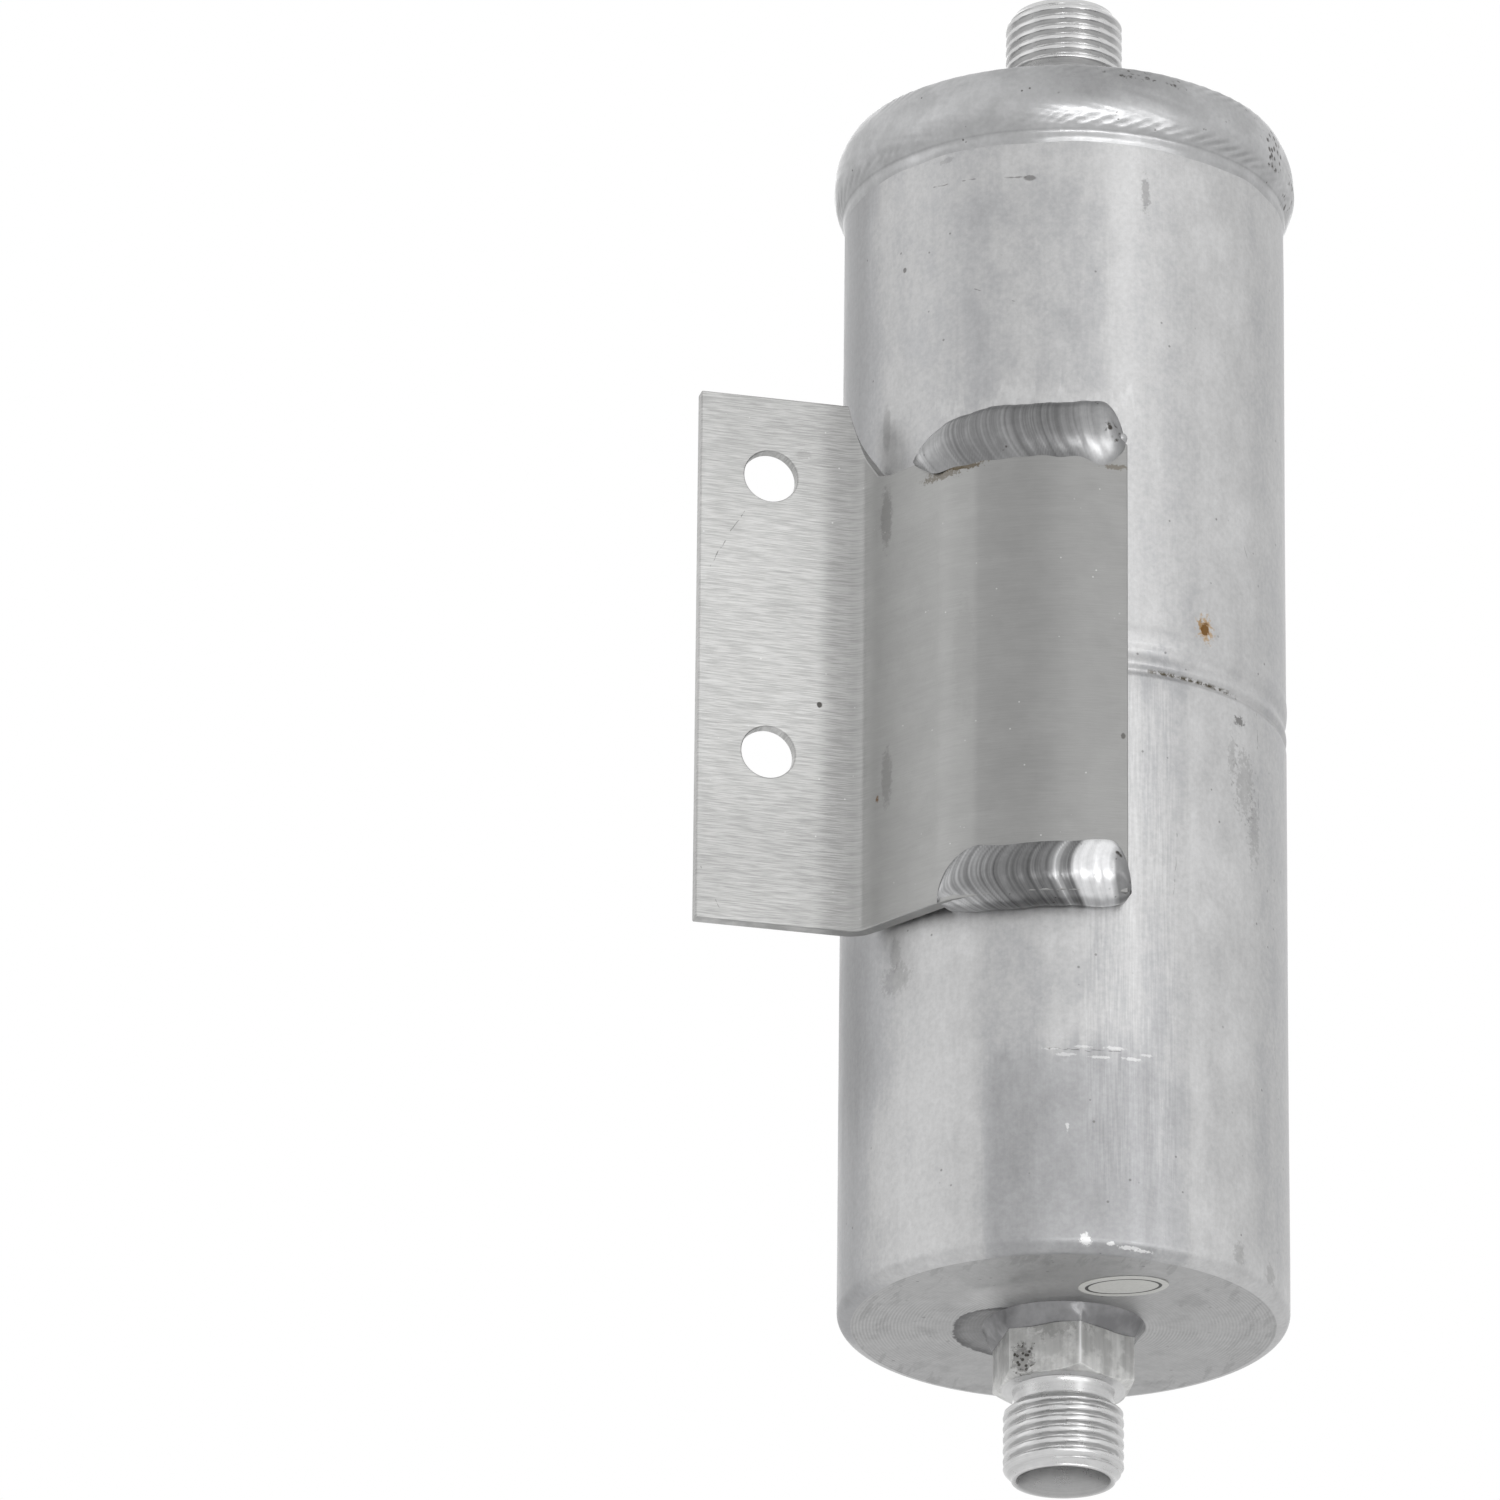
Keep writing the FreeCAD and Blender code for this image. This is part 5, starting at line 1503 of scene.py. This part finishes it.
class DRIER_OT_bracket_welds(bpy.types.Operator):
    """Make the two weld beads that hold the bracket"""

    bl_idname = "drier.bracket_welds"
    bl_label = "Bracket welds"

    def execute(self, context):
        can = in_mm(context.scene.drier_canister)
        bracket = in_mm(context.scene.drier_bracket)
        size = in_mm(context.scene.drier_beads)
        for name, bead, start, end in (
            ("upper", UPPER_BEAD, size.upper_start, size.upper_end),
            ("lower", LOWER_BEAD, size.lower_start, size.lower_end),
        ):
            rows, marks = bead_surface(size, bracket, can, bead, start, end)
            piece = make_skin(name + "_bead", rows, "weld_metal", marks, closed=False, sharp=75)
            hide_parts("bracket_weld_" + name)
        rows = drop_surface(on_side(-2.0, bracket.saddle_high + 0.7, 33.7), size.spatter)
        make_skin("weld_spatter", rows, "weld_metal", closed=False, sharp=None)
        return {"FINISHED"}


class DRIER_OT_sticker(bpy.types.Operator):
    """Make the oval sticker on the bottom"""

    bl_idname = "drier.sticker"
    bl_label = "Sticker"

    def execute(self, context):
        rows = sticker_surface(in_mm(context.scene.drier_sticker))
        piece = make_skin("oval_sticker", rows, "label_paper", closed=False, sharp=60)
        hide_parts("inspection_label")
        return {"FINISHED"}


class DRIER_OT_packed_parts(bpy.types.Operator):
    """Give the cap and the pieces inside their finishes"""

    bl_idname = "drier.packed_parts"
    bl_label = "Cap and inner pieces"

    def execute(self, context):
        for row in frame["record"]["subparts"]:
            node = frame["nodes"][row["node"]]
            if not node.hide_render:
                node.data.materials.clear()
                node.data.materials.append(finish(row["material_slot"]))
        return {"FINISHED"}


class DRIER_OT_stage(bpy.types.Operator):
    """Set the floor, the light and the camera"""

    bl_idname = "drier.stage"
    bl_label = "Stage"

    def execute(self, context):
        size = context.scene.drier_stage
        make_floor(size)
        make_world()
        make_lamps()
        make_camera(size)
        context.scene.view_settings.view_transform = "Standard"
        return {"FINISHED"}


# Stage

def seen_directly(web):
    """1 for rays from the camera, also through glass, and 0 for others."""
    path = web.add("ShaderNodeLightPath").outputs
    return web.math("ADD", path["Is Camera Ray"], path["Is Transmission Ray"], clamp=True)


def direction(turn, lift):
    """Unit vector at an angle round the part and an elevation."""
    return Vector((math.sin(turn) * math.cos(lift), -math.cos(turn) * math.cos(lift), math.sin(lift)))


def make_floor(size):
    """Pale square far below the part, mostly white to the camera."""
    half = 8.0
    level = BOTTOM - size.floor_drop
    corners = [(-half, -half, level), (half, -half, level), (half, half, level), (-half, half, level)]
    mesh = bpy.data.meshes.new("floor")
    mesh.from_pydata(corners, [], [(0, 1, 2, 3)])
    material = bpy.data.materials.new("pale_floor")
    material.use_nodes = True
    tree = material.node_tree
    shader = tree.nodes["Principled BSDF"]
    web = Web(tree)
    web.join((0.9, 0.9, 0.9), shader.inputs["Base Color"])
    web.join(0.9, shader.inputs["Roughness"])
    white = web.value("ShaderNodeEmission", {"Color": (1, 1, 1), "Strength": 1.0})
    mixed = web.value("ShaderNodeMixShader", (seen_directly(web) * 0.75, shader.outputs[0], white))
    web.join(mixed, tree.nodes["Material Output"].inputs["Surface"])
    mesh.materials.append(material)
    floor = bpy.data.objects.new("floor", mesh)
    bpy.context.scene.collection.objects.link(floor)


def make_world():
    """White for the camera; for the metal a pale room, a little brighter on one side and
    overhead and darker below, as wide softboxes make it."""
    world = bpy.data.worlds.new("studio")
    world.use_nodes = True
    bpy.context.scene.world = world
    tree = world.node_tree
    web = Web(tree)
    look = web.add("ShaderNodeTexCoord").outputs["Generated"]
    height = web.value("ShaderNodeSeparateXYZ", (look,), 2)
    level = height.remap(-0.7, 0.7, 0.62, 0.95)
    for degrees, rise, gain, power in (
        (30.0, 15.0, 0.22, 5.0),
        (-75.0, 15.0, 0.1, 4.0),
        (170.0, 15.0, 0.12, 4.0),
    ):
        towards = direction(math.radians(degrees), math.radians(rise))
        facing = web.vector("DOT_PRODUCT", look, towards)
        level = web.math("POWER", web.math("MAXIMUM", facing, 0.0), power) * gain + level
    room = web.value("ShaderNodeBackground", {"Color": (1, 1, 1), "Strength": level})
    plain = web.value("ShaderNodeBackground", {"Color": (1, 1, 1), "Strength": 1.0})
    glossy = web.add("ShaderNodeLightPath").outputs["Is Glossy Ray"]
    seen = web.math("MULTIPLY_ADD", glossy, 0.3, seen_directly(web), clamp=True)
    mixed = web.value("ShaderNodeMixShader", (seen, room, plain))
    web.join(mixed, tree.nodes["World Output"].inputs["Surface"])


def make_lamps():
    """Soft area lamps: name, angle round the part, elevation, distance, width, height, watts."""
    middle = Vector((0, 0, BOTTOM + 0.09))
    for name, degrees, rise, distance, wide, high, watts in (
        ("key", 22.0, 21.0, 2.2, 0.3, 0.9, 1.5),
        ("strip", 8.0, -3.0, 2.2, 2.6, 0.3, 10.5),
        ("fill", -95.0, 20.0, 2.4, 1.2, 1.6, 2.0),
        ("rear", 170.0, 30.0, 2.4, 1.4, 1.4, 5.0),
    ):
        towards = direction(math.radians(degrees), math.radians(rise))
        data = bpy.data.lights.new(name, "AREA")
        data.shape = "RECTANGLE"
        data.size = wide
        data.size_y = high
        data.energy = watts
        lamp = bpy.data.objects.new(name, data)
        lamp.location = middle + towards * distance
        lamp.rotation_euler = towards.to_track_quat("Z", "Y").to_euler()
        lamp.visible_camera = False
        bpy.context.scene.collection.objects.link(lamp)


def make_camera(size):
    """Camera on a sphere round the aim, turned off the aim by the small angles that put the
    part at its place in the frame."""
    back = direction(size.heading, size.elevation)
    across = Vector((math.cos(size.heading), math.sin(size.heading), 0))
    up = back.cross(across)
    aim = Vector((0, 0, BOTTOM + size.aim))
    turned = Matrix((across, up, back)).transposed().to_4x4()
    off_aim = ((1.419, "Y"), (-0.106, "X"), (0.019, "Z"))
    for degrees, axis in off_aim:
        turned = turned @ Matrix.Rotation(math.radians(degrees), 4, axis)
    data = bpy.data.cameras.new("camera")
    data.sensor_width = 36.0
    data.lens = size.lens
    data.clip_end = 50.0
    camera = bpy.data.objects.new("camera", data)
    camera.matrix_world = Matrix.Translation(aim + back * size.distance) @ turned
    bpy.context.scene.collection.objects.link(camera)
    bpy.context.scene.camera = camera


# Registering

OPERATORS = (
    DRIER_OT_canister,
    DRIER_OT_rim_weld,
    DRIER_OT_unions,
    DRIER_OT_bracket,
    DRIER_OT_bracket_welds,
    DRIER_OT_sticker,
    DRIER_OT_packed_parts,
    DRIER_OT_stage,
)

GROUPS = {
    "drier_canister": CanisterSizes,
    "drier_rim_weld": RimWeldSizes,
    "drier_union": UnionSizes,
    "drier_bracket": BracketSizes,
    "drier_beads": BeadSizes,
    "drier_sticker": StickerSizes,
    "drier_finishes": Finishes,
    "drier_stage": StageSizes,
}


class DRIER_PT_panel(bpy.types.Panel):
    """Lists the drier's steps"""

    bl_idname = "DRIER_PT_panel"
    bl_label = "Receiver drier"
    bl_space_type = "VIEW_3D"
    bl_region_type = "UI"
    bl_category = "Drier"

    def draw(self, context):
        for operator in OPERATORS:
            self.layout.operator(operator.bl_idname)


def register():
    """Register the groups, the steps and the panel."""
    for group in GROUPS.values():
        bpy.utils.register_class(group)
    for name, group in GROUPS.items():
        setattr(bpy.types.Scene, name, PointerProperty(type=group))
    for operator in OPERATORS:
        bpy.utils.register_class(operator)
    bpy.utils.register_class(DRIER_PT_panel)


def unregister():
    """Take back what register did, last things first."""
    bpy.utils.unregister_class(DRIER_PT_panel)
    for operator in reversed(OPERATORS):
        bpy.utils.unregister_class(operator)
    for name, group in GROUPS.items():
        delattr(bpy.types.Scene, name)
        bpy.utils.unregister_class(group)


def main():
    """Run every step."""
    register()
    for operator in OPERATORS:
        family, step_name = operator.bl_idname.split(".")
        getattr(getattr(bpy.ops, family), step_name)()


if __name__ == "__main__":
    main()
